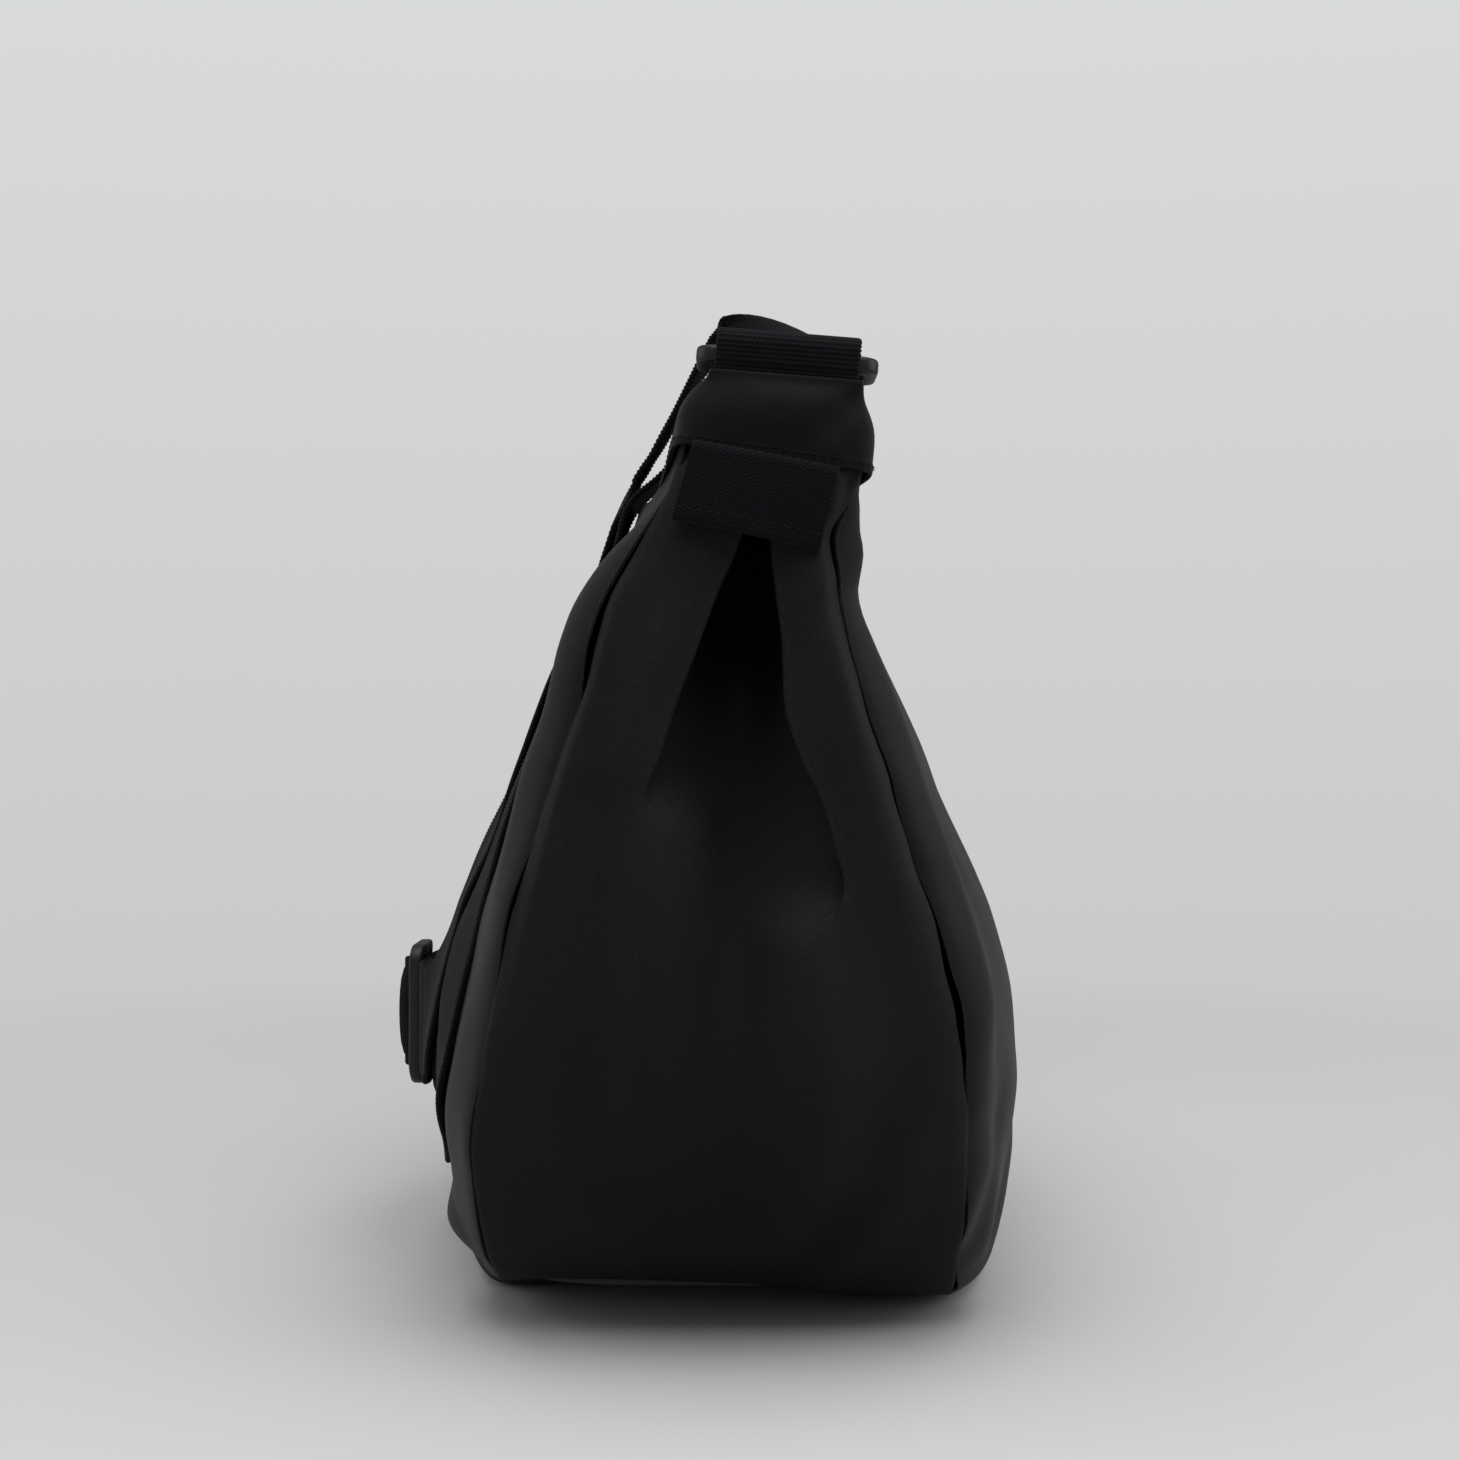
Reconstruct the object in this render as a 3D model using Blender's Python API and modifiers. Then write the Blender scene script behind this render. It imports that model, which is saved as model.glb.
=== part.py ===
# Half moon crossbody bag in black nylon, standing on its base with the zip closed.
# Frame: +Z up, origin on the floor under the middle of the base, +X along the bag,
# the front panel faces -Y and the strap hangs behind the back panel at +Y.
# Left means the -X end and right means the +X end. Units are metres.
import math

import bmesh
import bpy
from mathutils import Matrix, Vector

# Body of the bag
HALF_LENGTH = 0.198
BODY_HEIGHT = 0.240
HORN_RISE = 0.018
HALF_DEPTH = 0.093
END_HALF_DEPTH = 0.072
BAND_HALF_WIDTH = 0.025
HORN_START_GAP = 0.011
FABRIC = 0.0016
SEAM_GAP = 0.0009
FOOT_LIFT = 0.0005
END_BULGE = 0.010
PLEAT_DEPTH = 0.026
PLEAT_HALF_WIDTH = 0.007
PLEAT_SPREAD = 0.021
LEFT_LEAN = 0.0125
RIGHT_LEAN = 0.003
GUSSET_DROP = 0.003
PANEL_FULLNESS = 0.8
PANEL_COLUMNS = 20
GUSSET_COLUMNS = 14
GUSSET_CROWDING = 0.35
LEAN_START_SHARE = 0.86

# Shares of BODY_HEIGHT, each with the share of the size that it carries there
end_outline_shares = [
    (0.0, 0.36), (0.010, 0.45), (0.028, 0.53), (0.060, 0.615), (0.115, 0.70),
    (0.21, 0.79), (0.33, 0.87), (0.48, 0.93), (0.62, 0.965), (0.74, 0.983),
    (0.84, 0.993), (0.93, 0.998), (1.0, 1.0), (1.037, 1.0), (1.075, 1.0),
]
panel_depth_shares = [
    (0.0, 0.84), (0.045, 0.92), (0.10, 0.935), (0.155, 0.95), (0.23, 0.98),
    (0.31, 1.0), (0.40, 0.985), (0.50, 0.90), (0.63, 0.70), (0.77, 0.47),
    (0.88, 0.26), (0.95, 0.10), (1.0, 0.0), (1.075, 0.0),
]
end_depth_shares = [
    (0.0, 0.94), (0.10, 0.96), (0.20, 0.985), (0.29, 1.0), (0.35, 0.94),
    (0.43, 0.85), (0.54, 0.71), (0.68, 0.49), (0.83, 0.24), (0.96, 0.08),
    (1.075, 0.0),
]
sway_shares = [
    (0.0, 0.0), (0.40, 0.005), (0.75, 0.025), (0.86, 0.025), (0.98, 0.0),
    (1.075, 0.0),
]
pleat_shares = [
    (0.0, 0.0), (0.46, 0.0), (0.56, 0.16), (0.66, 0.42), (0.78, 0.74), (0.88, 1.0),
    (0.93, 0.95), (1.0, 0.35), (1.075, 0.0),
]
end_bulge_shares = [
    (0.0, 0.0), (0.06, 0.35), (0.2, 0.9), (0.35, 1.0), (0.55, 0.75), (0.75, 0.25),
    (0.9, 0.0), (1.075, 0.0),
]

# Lining, base board and inner pocket
LINING = 0.0008
LINING_GAP = 0.0032
LINING_END_GAP = 0.0115
LINING_RIM_DROP = 0.009
LINING_SIDES = 32
LINING_SQUARENESS = 0.42
BOARD = 0.0018
BOARD_MARGIN = 0.006
LAYER_GAP = 0.0004
POCKET_HALF_LENGTH = 0.075
POCKET_LOW_SHARE = 0.30
POCKET_HIGH_SHARE = 0.70
POCKET_CLEARANCE = 0.0012
POCKET_ROWS = 4
POCKET_COLUMNS = 8

# Zipped band along the top
BAND_END_LENGTH = 0.079
BAND_END_GAP = 0.0006
BAND_END_COLUMNS = 8
BAND_END_ROWS = 4
ZIP_SLOT_HALF = 0.0075
ZIP_SLOT_END = 0.0025
TAPE = 0.0006
TAPE_OUTER = 0.013
TAPE_TAIL = 0.010
CHAIN_INNER = 0.0008
CHAIN_OUTER = 0.0030
CHAIN_HEIGHT = 0.0028
CHAIN_PROUD = 0.0012
STOP_LENGTH = 0.0025
ZIP_PARK_GAP = 0.002
SLIDER_LENGTH = 0.014
SLIDER_HALF_WIDTH = 0.0050
SLIDER_PLATE = 0.0014
SLIDER_CLEARANCE = 0.0004
POST_LENGTH = 0.0030
POST_HALF_WIDTH = 0.0004
BAIL_HALF_SPAN = 0.0038
BAIL_WALL = 0.0012
BAIL_HALF_WIDTH = 0.0012
BAIL_CLEAR = 0.0026
PULL_LENGTH = 0.025
PULL_HALF_WIDTH = 0.0045
PULL_THICKNESS = 0.0012
PULL_HOLE = 0.0034
PULL_EDGE = 0.0004

# Webbing, rings and strap slider
WEBBING_WIDTH = 0.038
WEBBING = 0.0016
BAR = 0.0046
BAR_EDGE = 0.0014
RING_SIDE_CLEAR = 0.0006
RING_WINDOW = 0.0145
FIT = 0.0004
TURN_FIT = 0.0006
CORNER_STEPS = 4
FRAME_CORNER = 0.0051
RING_OVER_HORN = 0.0165
RING_INSET = 0.004
LEFT_ROLL = math.radians(4.6)
RIGHT_ROLL = math.radians(1.0)
ANCHOR_HALF_HEIGHT = 0.0070
ANCHOR_TAIL = 0.0055
LOOP_STEPS = 10
STRAP_LOOP_RISE = 0.0060
STRAP_LOOP_REACH = 0.012
STRAP_LEAD = 0.005
LOOP_LAST = 270
SEWN_LOOP_LAST = 320
SEWN_LOOP_SHARE = 0.62
GLIDE_SLOT = 0.0082
GLIDE_REACH = 0.040
GLIDE_BEND = 0.003
SEWN_FIRST = -100
SEWN_LAST = 150

# End caps and grab tabs
CAP_CLOTH = 0.0014
CAP_CLEARANCE = 0.0011
CAP_HEM_DROP = 0.010
CAP_LENGTH = 0.034
CAP_ROOF_RISE = 0.0046
CAP_NECK_RISE = 0.0085
CAP_NECK_HALF_LENGTH = 0.0046
CAP_HEM_SLOPE = math.radians(8.5)
CAP_CORNER = 0.0030
CAP_SIDE_STEPS = 4
TAB_WIDTH = 0.040
TAB_DROP = 0.021
TAB_CLEARANCE = 0.0002

# Where the strap runs. Each place holds shares of HALF_LENGTH along the bag, of
# HALF_DEPTH out from the back panel and of BODY_HEIGHT up. The last share says how
# far the webbing's face is turned from facing as the panel does to facing up.
upper_layer_shares = [
    (-0.760, -0.418, 1.195, 1.0), (-0.726, -0.398, 1.201, 1.0),
    (-0.697, -0.355, 1.201, 0.95), (-0.675, -0.301, 1.193, 0.85),
    (-0.662, -0.237, 1.175, 0.7), (-0.657, -0.172, 1.148, 0.5),
    (-0.654, -0.108, 1.110, 0.25), (-0.649, -0.027, 1.062, 0.12),
    (-0.636, 0.062, 1.006, 0.05), (-0.586, 0.049, 0.938, 0), (-0.510, 0.039, 0.833, 0),
    (-0.460, 0.026, 0.729, 0), (-0.424, 0.020, 0.625, 0), (-0.399, 0.043, 0.529, 0),
    (-0.374, 0.071, 0.446, 0), (-0.343, 0.099, 0.400, 0), (-0.303, 0.129, 0.364, 0),
    (-0.253, 0.151, 0.340, 0), (-0.207, 0.153, 0.329, 0),
]
lower_layer_shares = [
    (-0.763, -0.407, 1.128, 1.0), (-0.735, -0.392, 1.127, 1.0),
    (-0.712, -0.356, 1.122, 0.95), (-0.693, -0.305, 1.113, 0.85),
    (-0.682, -0.246, 1.099, 0.7), (-0.678, -0.183, 1.081, 0.55),
    (-0.679, -0.121, 1.058, 0.4), (-0.682, -0.055, 1.033, 0.25),
    (-0.687, 0.030, 0.998, 0.05), (-0.699, 0.017, 0.925, 0), (-0.712, 0.016, 0.833, 0),
    (-0.717, 0.016, 0.708, 0), (-0.717, 0.016, 0.583, 0), (-0.707, 0.016, 0.488, 0),
    (-0.679, 0.016, 0.404, 0), (-0.629, 0.016, 0.333, 0), (-0.556, 0.017, 0.283, 0),
    (-0.475, 0.017, 0.263, 0), (-0.404, 0.024, 0.268, 0), (-0.333, 0.032, 0.285, 0),
    (-0.263, 0.049, 0.307, 0), (-0.212, 0.090, 0.320, 0),
]
single_run_shares = [
    (0.308, 0.140, 0.329, 0), (0.354, 0.102, 0.340, 0), (0.404, 0.070, 0.364, 0),
    (0.449, 0.045, 0.400, 0), (0.490, 0.030, 0.448, 0), (0.525, 0.022, 0.529, 0),
    (0.556, 0.019, 0.625, 0), (0.586, 0.019, 0.729, 0), (0.611, 0.022, 0.833, 0),
    (0.636, 0.028, 0.938, 0), (0.654, 0.048, 1.008, 0.05), (0.658, 0.030, 1.058, 0.12),
    (0.660, -0.005, 1.100, 0.25), (0.661, -0.054, 1.138, 0.5), (0.664, -0.113, 1.167, 0.7),
    (0.676, -0.183, 1.188, 0.85), (0.697, -0.247, 1.198, 0.95), (0.726, -0.281, 1.199, 1.0),
    (0.760, -0.298, 1.194, 1.0),
]
glide_place_shares = (0.05, 1.183, 0.326)
RUN_STEPS = 4

BAG_NAME = "half_moon_bag"
OVERRUN = 0.002

HORN_TOP = BODY_HEIGHT + HORN_RISE
LIP_OUTER = BAND_HALF_WIDTH - FABRIC - SEAM_GAP
LIP_HALF_LENGTH = HALF_LENGTH - BAND_END_LENGTH
ZIP_TRAVEL_HALF = LIP_HALF_LENGTH + ZIP_PARK_GAP + SLIDER_LENGTH / 2
STOP_START = ZIP_TRAVEL_HALF + SLIDER_LENGTH / 2 + SLIDER_CLEARANCE
SLOT_END = STOP_START + STOP_LENGTH + ZIP_SLOT_END
BAND_FLAT_HALF = ZIP_TRAVEL_HALF + PULL_LENGTH + HORN_START_GAP
TAPE_TOP = BODY_HEIGHT - FABRIC - LAYER_GAP
CHAIN_TOP = TAPE_TOP + CHAIN_PROUD
CHAIN_MIDDLE = CHAIN_TOP - CHAIN_HEIGHT / 2
RING_DEPTH = RING_WINDOW + 2 * BAR
RING_HALF_WIDTH = WEBBING_WIDTH / 2 + RING_SIDE_CLEAR + BAR
OUTLINE_TOP = end_outline_shares[-1][0]


def clear_scene():
    for obj in list(bpy.data.objects):
        bpy.data.objects.remove(obj, do_unlink=True)
    for name in (BAG_NAME, "cutters"):
        collection = bpy.data.collections.new(name)
        bpy.context.scene.collection.children.link(collection)


def make_material(name, colour, roughness, metallic=0.0):
    material = bpy.data.materials.new(name)
    material.use_nodes = True
    shader = material.node_tree.nodes["Principled BSDF"]
    shader.inputs["Base Color"].default_value = (*colour, 1.0)
    shader.inputs["Roughness"].default_value = roughness
    shader.inputs["Metallic"].default_value = metallic
    return material


def make_materials():
    return {
        "nylon": make_material("nylon", (0.016, 0.015, 0.017), 0.62),
        "webbing": make_material("webbing", (0.008, 0.010, 0.013), 0.75),
        "plastic": make_material("plastic", (0.030, 0.032, 0.033), 0.45),
        "lining": make_material("lining", (0.030, 0.030, 0.033), 0.70),
        "zipper": make_material("zipper", (0.012, 0.012, 0.013), 0.50),
        "metal": make_material("metal", (0.050, 0.050, 0.053), 0.35, 0.9),
        "board": make_material("board", (0.060, 0.060, 0.060), 0.60),
    }


# Outline and surfaces of the body

def read_table(table, at):
    # A smooth curve through the table's points, flat at its turning points
    if at <= table[0][0]:
        return table[0][1]
    for i in range(len(table) - 1):
        (x0, y0), (x1, y1) = table[i], table[i + 1]
        if at <= x1:
            step = x1 - x0
            rise = (y1 - y0) / step
            before = rise
            after = rise
            if i > 0:
                before = (y0 - table[i - 1][1]) / (x0 - table[i - 1][0])
            if i + 2 < len(table):
                after = (table[i + 2][1] - y1) / (table[i + 2][0] - x1)
            m0 = 0.0 if before * rise <= 0 else 2 * before * rise / (before + rise)
            m1 = 0.0 if after * rise <= 0 else 2 * after * rise / (after + rise)
            t = (at - x0) / step
            return (
                y0 * (1 + 2 * t) * (1 - t) ** 2
                + m0 * step * t * (1 - t) ** 2
                + y1 * t * t * (3 - 2 * t)
                - m1 * step * t * t * (1 - t)
            )
    return table[-1][1]


def smooth(t):
    t = min(1.0, max(0.0, t))
    return t * t * (3 - 2 * t)


def end_x(z):
    return HALF_LENGTH * read_table(end_outline_shares, z / BODY_HEIGHT)


def end_half_depth(z):
    share = read_table(end_depth_shares, z / BODY_HEIGHT)
    return BAND_HALF_WIDTH + (END_HALF_DEPTH - BAND_HALF_WIDTH) * share


def middle_half_depth(z):
    share = read_table(panel_depth_shares, z / BODY_HEIGHT)
    return BAND_HALF_WIDTH + (HALF_DEPTH - BAND_HALF_WIDTH) * share


def lean(x, z):
    # The bag sways back a little and each horn leans towards the front again
    most = LEFT_LEAN if x < 0 else RIGHT_LEAN
    start = BODY_HEIGHT * LEAN_START_SHARE
    up = smooth((z - start) / (HORN_TOP - start))
    out = smooth((abs(x) - SLOT_END) / (HALF_LENGTH - SLOT_END))
    return HALF_DEPTH * read_table(sway_shares, z / BODY_HEIGHT) - most * up * out


def half_depth(x, z):
    across = min(1.0, abs(x) / end_x(z))
    full = (1 - across * across) ** PANEL_FULLNESS
    edge = end_half_depth(z)
    return edge + (middle_half_depth(z) - edge) * full


def top_z(x):
    rise = smooth((abs(x) - BAND_FLAT_HALF) / (HALF_LENGTH - BAND_FLAT_HALF))
    return BODY_HEIGHT + HORN_RISE * rise


def pleat(y, z):
    # How far the inverted pleat draws the end inwards
    share = read_table(pleat_shares, z / BODY_HEIGHT)
    width = PLEAT_HALF_WIDTH + PLEAT_SPREAD * (1 - share)
    return PLEAT_DEPTH * share * math.exp(-((y / width) ** 2))


# Helpers for meshes and modifiers

def mesh_of(name, bm):
    mesh = bpy.data.meshes.new(name)
    bm.to_mesh(mesh)
    bm.free()
    return mesh


def new_object(name, mesh, material, parent=None):
    # The mesh is in world places and moves under its parent's origin
    obj = bpy.data.objects.new(name, mesh)
    mesh.materials.append(material)
    bpy.data.collections[BAG_NAME].objects.link(obj)
    if parent:
        mesh.transform(parent.matrix_basis.inverted())
        obj.parent = parent
    return obj


def joint_empty(name, place, roll=0.0):
    empty = bpy.data.objects.new(name, None)
    empty.matrix_basis = Matrix.Translation(place) @ Matrix.Rotation(roll, 4, "X")
    bpy.data.collections[BAG_NAME].objects.link(empty)
    return empty


def grid_mesh(name, rows, closed=False):
    # A sheet through rows of points, which may close on its first row again
    bm = bmesh.new()
    grid = [[bm.verts.new(p) for p in row] for row in rows]
    if closed:
        grid.append(grid[0])
    for low, high in zip(grid, grid[1:]):
        for a, b, c, d in zip(low, low[1:], high[1:], high):
            bm.faces.new((a, b, c, d))
    return mesh_of(name, bm)


def thicken(obj, thickness, offset=-1.0):
    wall = obj.modifiers.new("wall", "SOLIDIFY")
    wall.thickness = thickness
    wall.offset = offset
    wall.use_even_offset = True
    wall.use_quality_normals = True


def box_mesh(name, low, high, bevel=0.0):
    # A box from its lowest to its highest corner
    bm = bmesh.new()
    bmesh.ops.create_cube(bm, size=1.0)
    size = [h - l for l, h in zip(low, high)]
    middle = Vector([(h + l) / 2 for l, h in zip(low, high)])
    bmesh.ops.scale(bm, vec=size, verts=bm.verts)
    bmesh.ops.translate(bm, vec=middle, verts=bm.verts)
    if bevel:
        bmesh.ops.bevel(
            bm, geom=bm.edges[:], offset=bevel, segments=1, affect="EDGES", profile=0.5
        )
    return mesh_of(name, bm)


def combine(obj, name, mesh, operation="DIFFERENCE"):
    # Takes a closed mesh away from the object or adds it, in world places
    tool = bpy.data.objects.new(name, mesh)
    bpy.data.collections["cutters"].objects.link(tool)
    if obj.parent:
        mesh.transform(obj.parent.matrix_basis.inverted())
        tool.parent = obj.parent
    tool.hide_render = True
    tool.display_type = "WIRE"
    modifier = obj.modifiers.new(name, "BOOLEAN")
    modifier.operation = operation
    modifier.solver = "EXACT"
    modifier.object = tool


# Panels, gussets and base

def side_panel(name, side, material):
    # side is -1 for the front and +1 for the back
    rows = []
    for level, _ in end_outline_shares:
        row = []
        for i in range(PANEL_COLUMNS + 1):
            u = math.sin((i / PANEL_COLUMNS - 0.5) * math.pi)
            low = 2 * FOOT_LIFT
            z = low + (top_z(u * HALF_LENGTH) - low) * level / OUTLINE_TOP
            x = u * end_x(z)
            row.append(Vector((x, side * half_depth(x, z) + lean(x, z), z)))
        rows.append(row if side < 0 else row[::-1])
    obj = new_object(name, grid_mesh(name, rows), material)
    thicken(obj, FABRIC)
    return obj


def end_gusset(name, side, material):
    # side is -1 for the left end and +1 for the right
    rows = []
    high = HORN_TOP - GUSSET_DROP
    for level, _ in end_outline_shares:
        z = FOOT_LIFT + (high - FOOT_LIFT) * level / OUTLINE_TOP
        reach = end_half_depth(z) - FABRIC - SEAM_GAP
        row = []
        for i in range(GUSSET_COLUMNS + 1):
            t = 2 * i / GUSSET_COLUMNS - 1
            y = t * abs(t) ** GUSSET_CROWDING * reach
            bulge = END_BULGE * read_table(end_bulge_shares, level) * (1 - t * t)
            x = side * (end_x(z) - SEAM_GAP + bulge - pleat(y, z))
            row.append(Vector((x, y + lean(side * HALF_LENGTH, z), z)))
        rows.append(row if side > 0 else row[::-1])
    obj = new_object(name, grid_mesh(name, rows), material)
    thicken(obj, FABRIC)
    return obj


def base_panel(material):
    half_x = end_x(FOOT_LIFT) - 2 * SEAM_GAP
    half_y = end_half_depth(0.0) - FABRIC - SEAM_GAP
    mesh = box_mesh("base_panel", (-half_x, -half_y, 0.0), (half_x, half_y, FABRIC))
    return new_object("base_panel", mesh, material)


def base_board(material):
    low = FABRIC + LAYER_GAP
    half_x = end_x(0.0) - BOARD_MARGIN
    half_y = end_half_depth(0.0) - FABRIC - BOARD_MARGIN
    mesh = box_mesh("base_board", (-half_x, -half_y, low), (half_x, half_y, low + BOARD))
    return new_object("base_board", mesh, material)


# Lining and inner pocket

def lining_ring(z):
    # One level of the lining, which stays inside the panels and the pleats
    share = read_table(pleat_shares, z / BODY_HEIGHT)
    reach = end_x(z) - LINING_END_GAP - PLEAT_DEPTH * share
    ring = []
    for i in range(LINING_SIDES):
        angle = 2 * math.pi * i / LINING_SIDES
        c, s = math.cos(angle), math.sin(angle)
        x = reach * math.copysign(abs(c) ** LINING_SQUARENESS, c)
        y = half_depth(x, z) - FABRIC - LINING_GAP
        y *= math.copysign(abs(s) ** LINING_SQUARENESS, s)
        ring.append(Vector((x, y + lean(x, z), z)))
    return ring


def lining_back(x, z):
    # The lining's back at one place, on the straight sides of its ring
    ring = lining_ring(z)[:LINING_SIDES // 2 + 1]
    for a, b in zip(ring, ring[1:]):
        if b.x <= x <= a.x:
            return a.y + (b.y - a.y) * (a.x - x) / (a.x - b.x)
    return ring[0].y


def lining(material):
    floor = FABRIC + 2 * LAYER_GAP + BOARD + LINING
    rim = BODY_HEIGHT - LINING_RIM_DROP
    bm = bmesh.new()
    rings = []
    for level, _ in end_outline_shares[1:]:
        z = floor + (rim - floor) * (level - end_outline_shares[1][0]) / (
            OUTLINE_TOP - end_outline_shares[1][0]
        )
        rings.append([bm.verts.new(p) for p in lining_ring(z)])
    for low, high in zip(rings, rings[1:]):
        for i in range(LINING_SIDES):
            j = (i + 1) % LINING_SIDES
            bm.faces.new((low[i], low[j], high[j], high[i]))
    middle = bm.verts.new((0.0, 0.0, floor))
    for i in range(LINING_SIDES):
        bm.faces.new((middle, rings[0][(i + 1) % LINING_SIDES], rings[0][i]))
    obj = new_object("lining", mesh_of("lining", bm), material)
    thicken(obj, LINING)
    return obj


def inner_pocket(material):
    # A flat slip pocket sewn to the lining on the back of the bag
    rows = []
    rise = POCKET_HIGH_SHARE - POCKET_LOW_SHARE
    for i in range(POCKET_ROWS + 1):
        z = (POCKET_LOW_SHARE + rise * i / POCKET_ROWS) * BODY_HEIGHT
        row = []
        for j in range(POCKET_COLUMNS + 1):
            x = POCKET_HALF_LENGTH * (2 * j / POCKET_COLUMNS - 1)
            row.append(Vector((x, lining_back(x, z) - LINING - POCKET_CLEARANCE, z)))
        rows.append(row[::-1])
    obj = new_object("inner_pocket", grid_mesh("inner_pocket", rows), material)
    thicken(obj, LINING)
    return obj


# Zipped band

def lip(name, side, materials):
    # One side of the mouth: fabric strip, zip tape and chain on one hinge
    tag = "front" if side < 0 else "back"
    hinge_y = side * (LIP_OUTER + SEAM_GAP / 2)
    hinge = joint_empty(name, Vector((0.0, hinge_y, BODY_HEIGHT)))
    half = LIP_HALF_LENGTH

    def strip(inner, outer, low, high, bevel=0.0):
        edges = sorted((side * inner, side * outer))
        return box_mesh(name, (-half, edges[0], low), (half, edges[1], high), bevel)

    cloth = strip(ZIP_SLOT_HALF, LIP_OUTER, BODY_HEIGHT - FABRIC, BODY_HEIGHT)
    new_object("top_strip_" + tag, cloth, materials["nylon"], hinge)
    tape = strip(CHAIN_OUTER + LAYER_GAP, TAPE_OUTER, TAPE_TOP - TAPE, TAPE_TOP)
    new_object("zipper_tape_" + tag, tape, materials["zipper"], hinge)
    chain = strip(CHAIN_INNER, CHAIN_OUTER, CHAIN_TOP - CHAIN_HEIGHT, CHAIN_TOP)
    new_object("zipper_chain_" + tag, chain, materials["zipper"], hinge)
    return hinge


def band_end(name, side, material):
    # The band's fixed end over a horn, with the slot where the zip slider parks
    start = LIP_HALF_LENGTH + BAND_END_GAP
    stop = HALF_LENGTH - SEAM_GAP
    rows = []
    for i in range(BAND_END_COLUMNS + 1):
        x = side * (start + (stop - start) * i / BAND_END_COLUMNS)
        z = top_z(x)
        row = []
        for j in range(BAND_END_ROWS + 1):
            y = LIP_OUTER * (2 * j / BAND_END_ROWS - 1) + lean(x, z)
            row.append(Vector((x, y, z)))
        rows.append(row[::-1] if side < 0 else row)
    obj = new_object(name, grid_mesh(name, rows), material)
    thicken(obj, FABRIC)
    edges = sorted((side * (start - OVERRUN), side * SLOT_END))
    low = (edges[0], -ZIP_SLOT_HALF, BODY_HEIGHT - FABRIC - OVERRUN)
    high = (edges[1], ZIP_SLOT_HALF, BODY_HEIGHT + OVERRUN)
    combine(obj, name + "_slot", box_mesh(name + "_slot", low, high))
    return obj


def zipper_end(side, materials):
    # The last stretch of tape and chain at one end, closed off by the stop
    tag = "left" if side < 0 else "right"
    start = LIP_HALF_LENGTH + BAND_END_GAP

    def bar(name, material, half_width, low, high, length, slot_half, slot_end):
        xs = sorted((side * start, side * length))
        mesh = box_mesh(name, (xs[0], -half_width, low), (xs[1], half_width, high))
        obj = new_object(name, mesh, materials[material])
        xs = sorted((side * (start - OVERRUN), side * slot_end))
        low_corner = (xs[0], -slot_half, low - OVERRUN)
        mesh = box_mesh(name, low_corner, (xs[1], slot_half, high + OVERRUN))
        combine(obj, name + "_slot", mesh)

    stop_end = STOP_START + STOP_LENGTH
    bar(
        "zipper_tape_end_" + tag, "zipper", TAPE_OUTER, TAPE_TOP - TAPE, TAPE_TOP,
        SLOT_END + TAPE_TAIL, CHAIN_OUTER + LAYER_GAP, stop_end + LAYER_GAP,
    )
    bar(
        "zipper_stop_" + tag, "zipper", CHAIN_OUTER, CHAIN_TOP - CHAIN_HEIGHT, CHAIN_TOP,
        stop_end, CHAIN_INNER, STOP_START,
    )


def zipper_slider(materials):
    # Two plates round the chain, a post between its halves and a bail on top
    place = Vector((-ZIP_TRAVEL_HALF, 0.0, CHAIN_MIDDLE))
    slide = joint_empty("slider_place", place)
    half = SLIDER_LENGTH / 2
    inside = CHAIN_HEIGHT / 2 + SLIDER_CLEARANCE
    outside = inside + SLIDER_PLATE
    wide = SLIDER_HALF_WIDTH
    bail_high = outside + BAIL_CLEAR + BAIL_WALL
    low = (-half, -wide, -outside)
    body = box_mesh("slider", low, (half, wide, bail_high))
    body.transform(Matrix.Translation(place))
    obj = new_object("zipper_slider", body, materials["metal"], slide)

    def take(name, low, high):
        mesh = box_mesh(name, low, high)
        mesh.transform(Matrix.Translation(place))
        combine(obj, name, mesh)

    chain_side = CHAIN_OUTER + SLIDER_CLEARANCE
    ends = half + OVERRUN
    for face in (-1, 1):
        ys = sorted((face * POST_HALF_WIDTH, face * chain_side))
        take("chain_channel", (-ends, ys[0], -inside), (ends, ys[1], inside))
        ys = sorted((face * (chain_side - POST_HALF_WIDTH), face * (wide + OVERRUN)))
        low = (-ends, ys[0], -SLIDER_CLEARANCE - TAPE)
        take("tape_channel", low, (ends, ys[1], CHAIN_PROUD + TAPE))
        ys = sorted((face * BAIL_HALF_WIDTH, face * (wide + OVERRUN)))
        high = (ends, ys[1], bail_high + OVERRUN)
        take("bail_side", (-ends, ys[0], outside), high)
        xs = sorted((face * BAIL_HALF_SPAN, face * ends))
        high = (xs[1], wide, bail_high + OVERRUN)
        take("bail_end", (xs[0], -wide, outside), high)
    window = BAIL_HALF_SPAN - BAIL_WALL
    take("bail_window", (-window, -wide, outside), (window, wide, outside + BAIL_CLEAR))
    low = (-ends, -2 * POST_HALF_WIDTH, -inside)
    take("throat", low, (half - POST_LENGTH, 2 * POST_HALF_WIDTH, inside))
    return slide, Vector((place.x, 0.0, place.z + outside))


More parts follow.
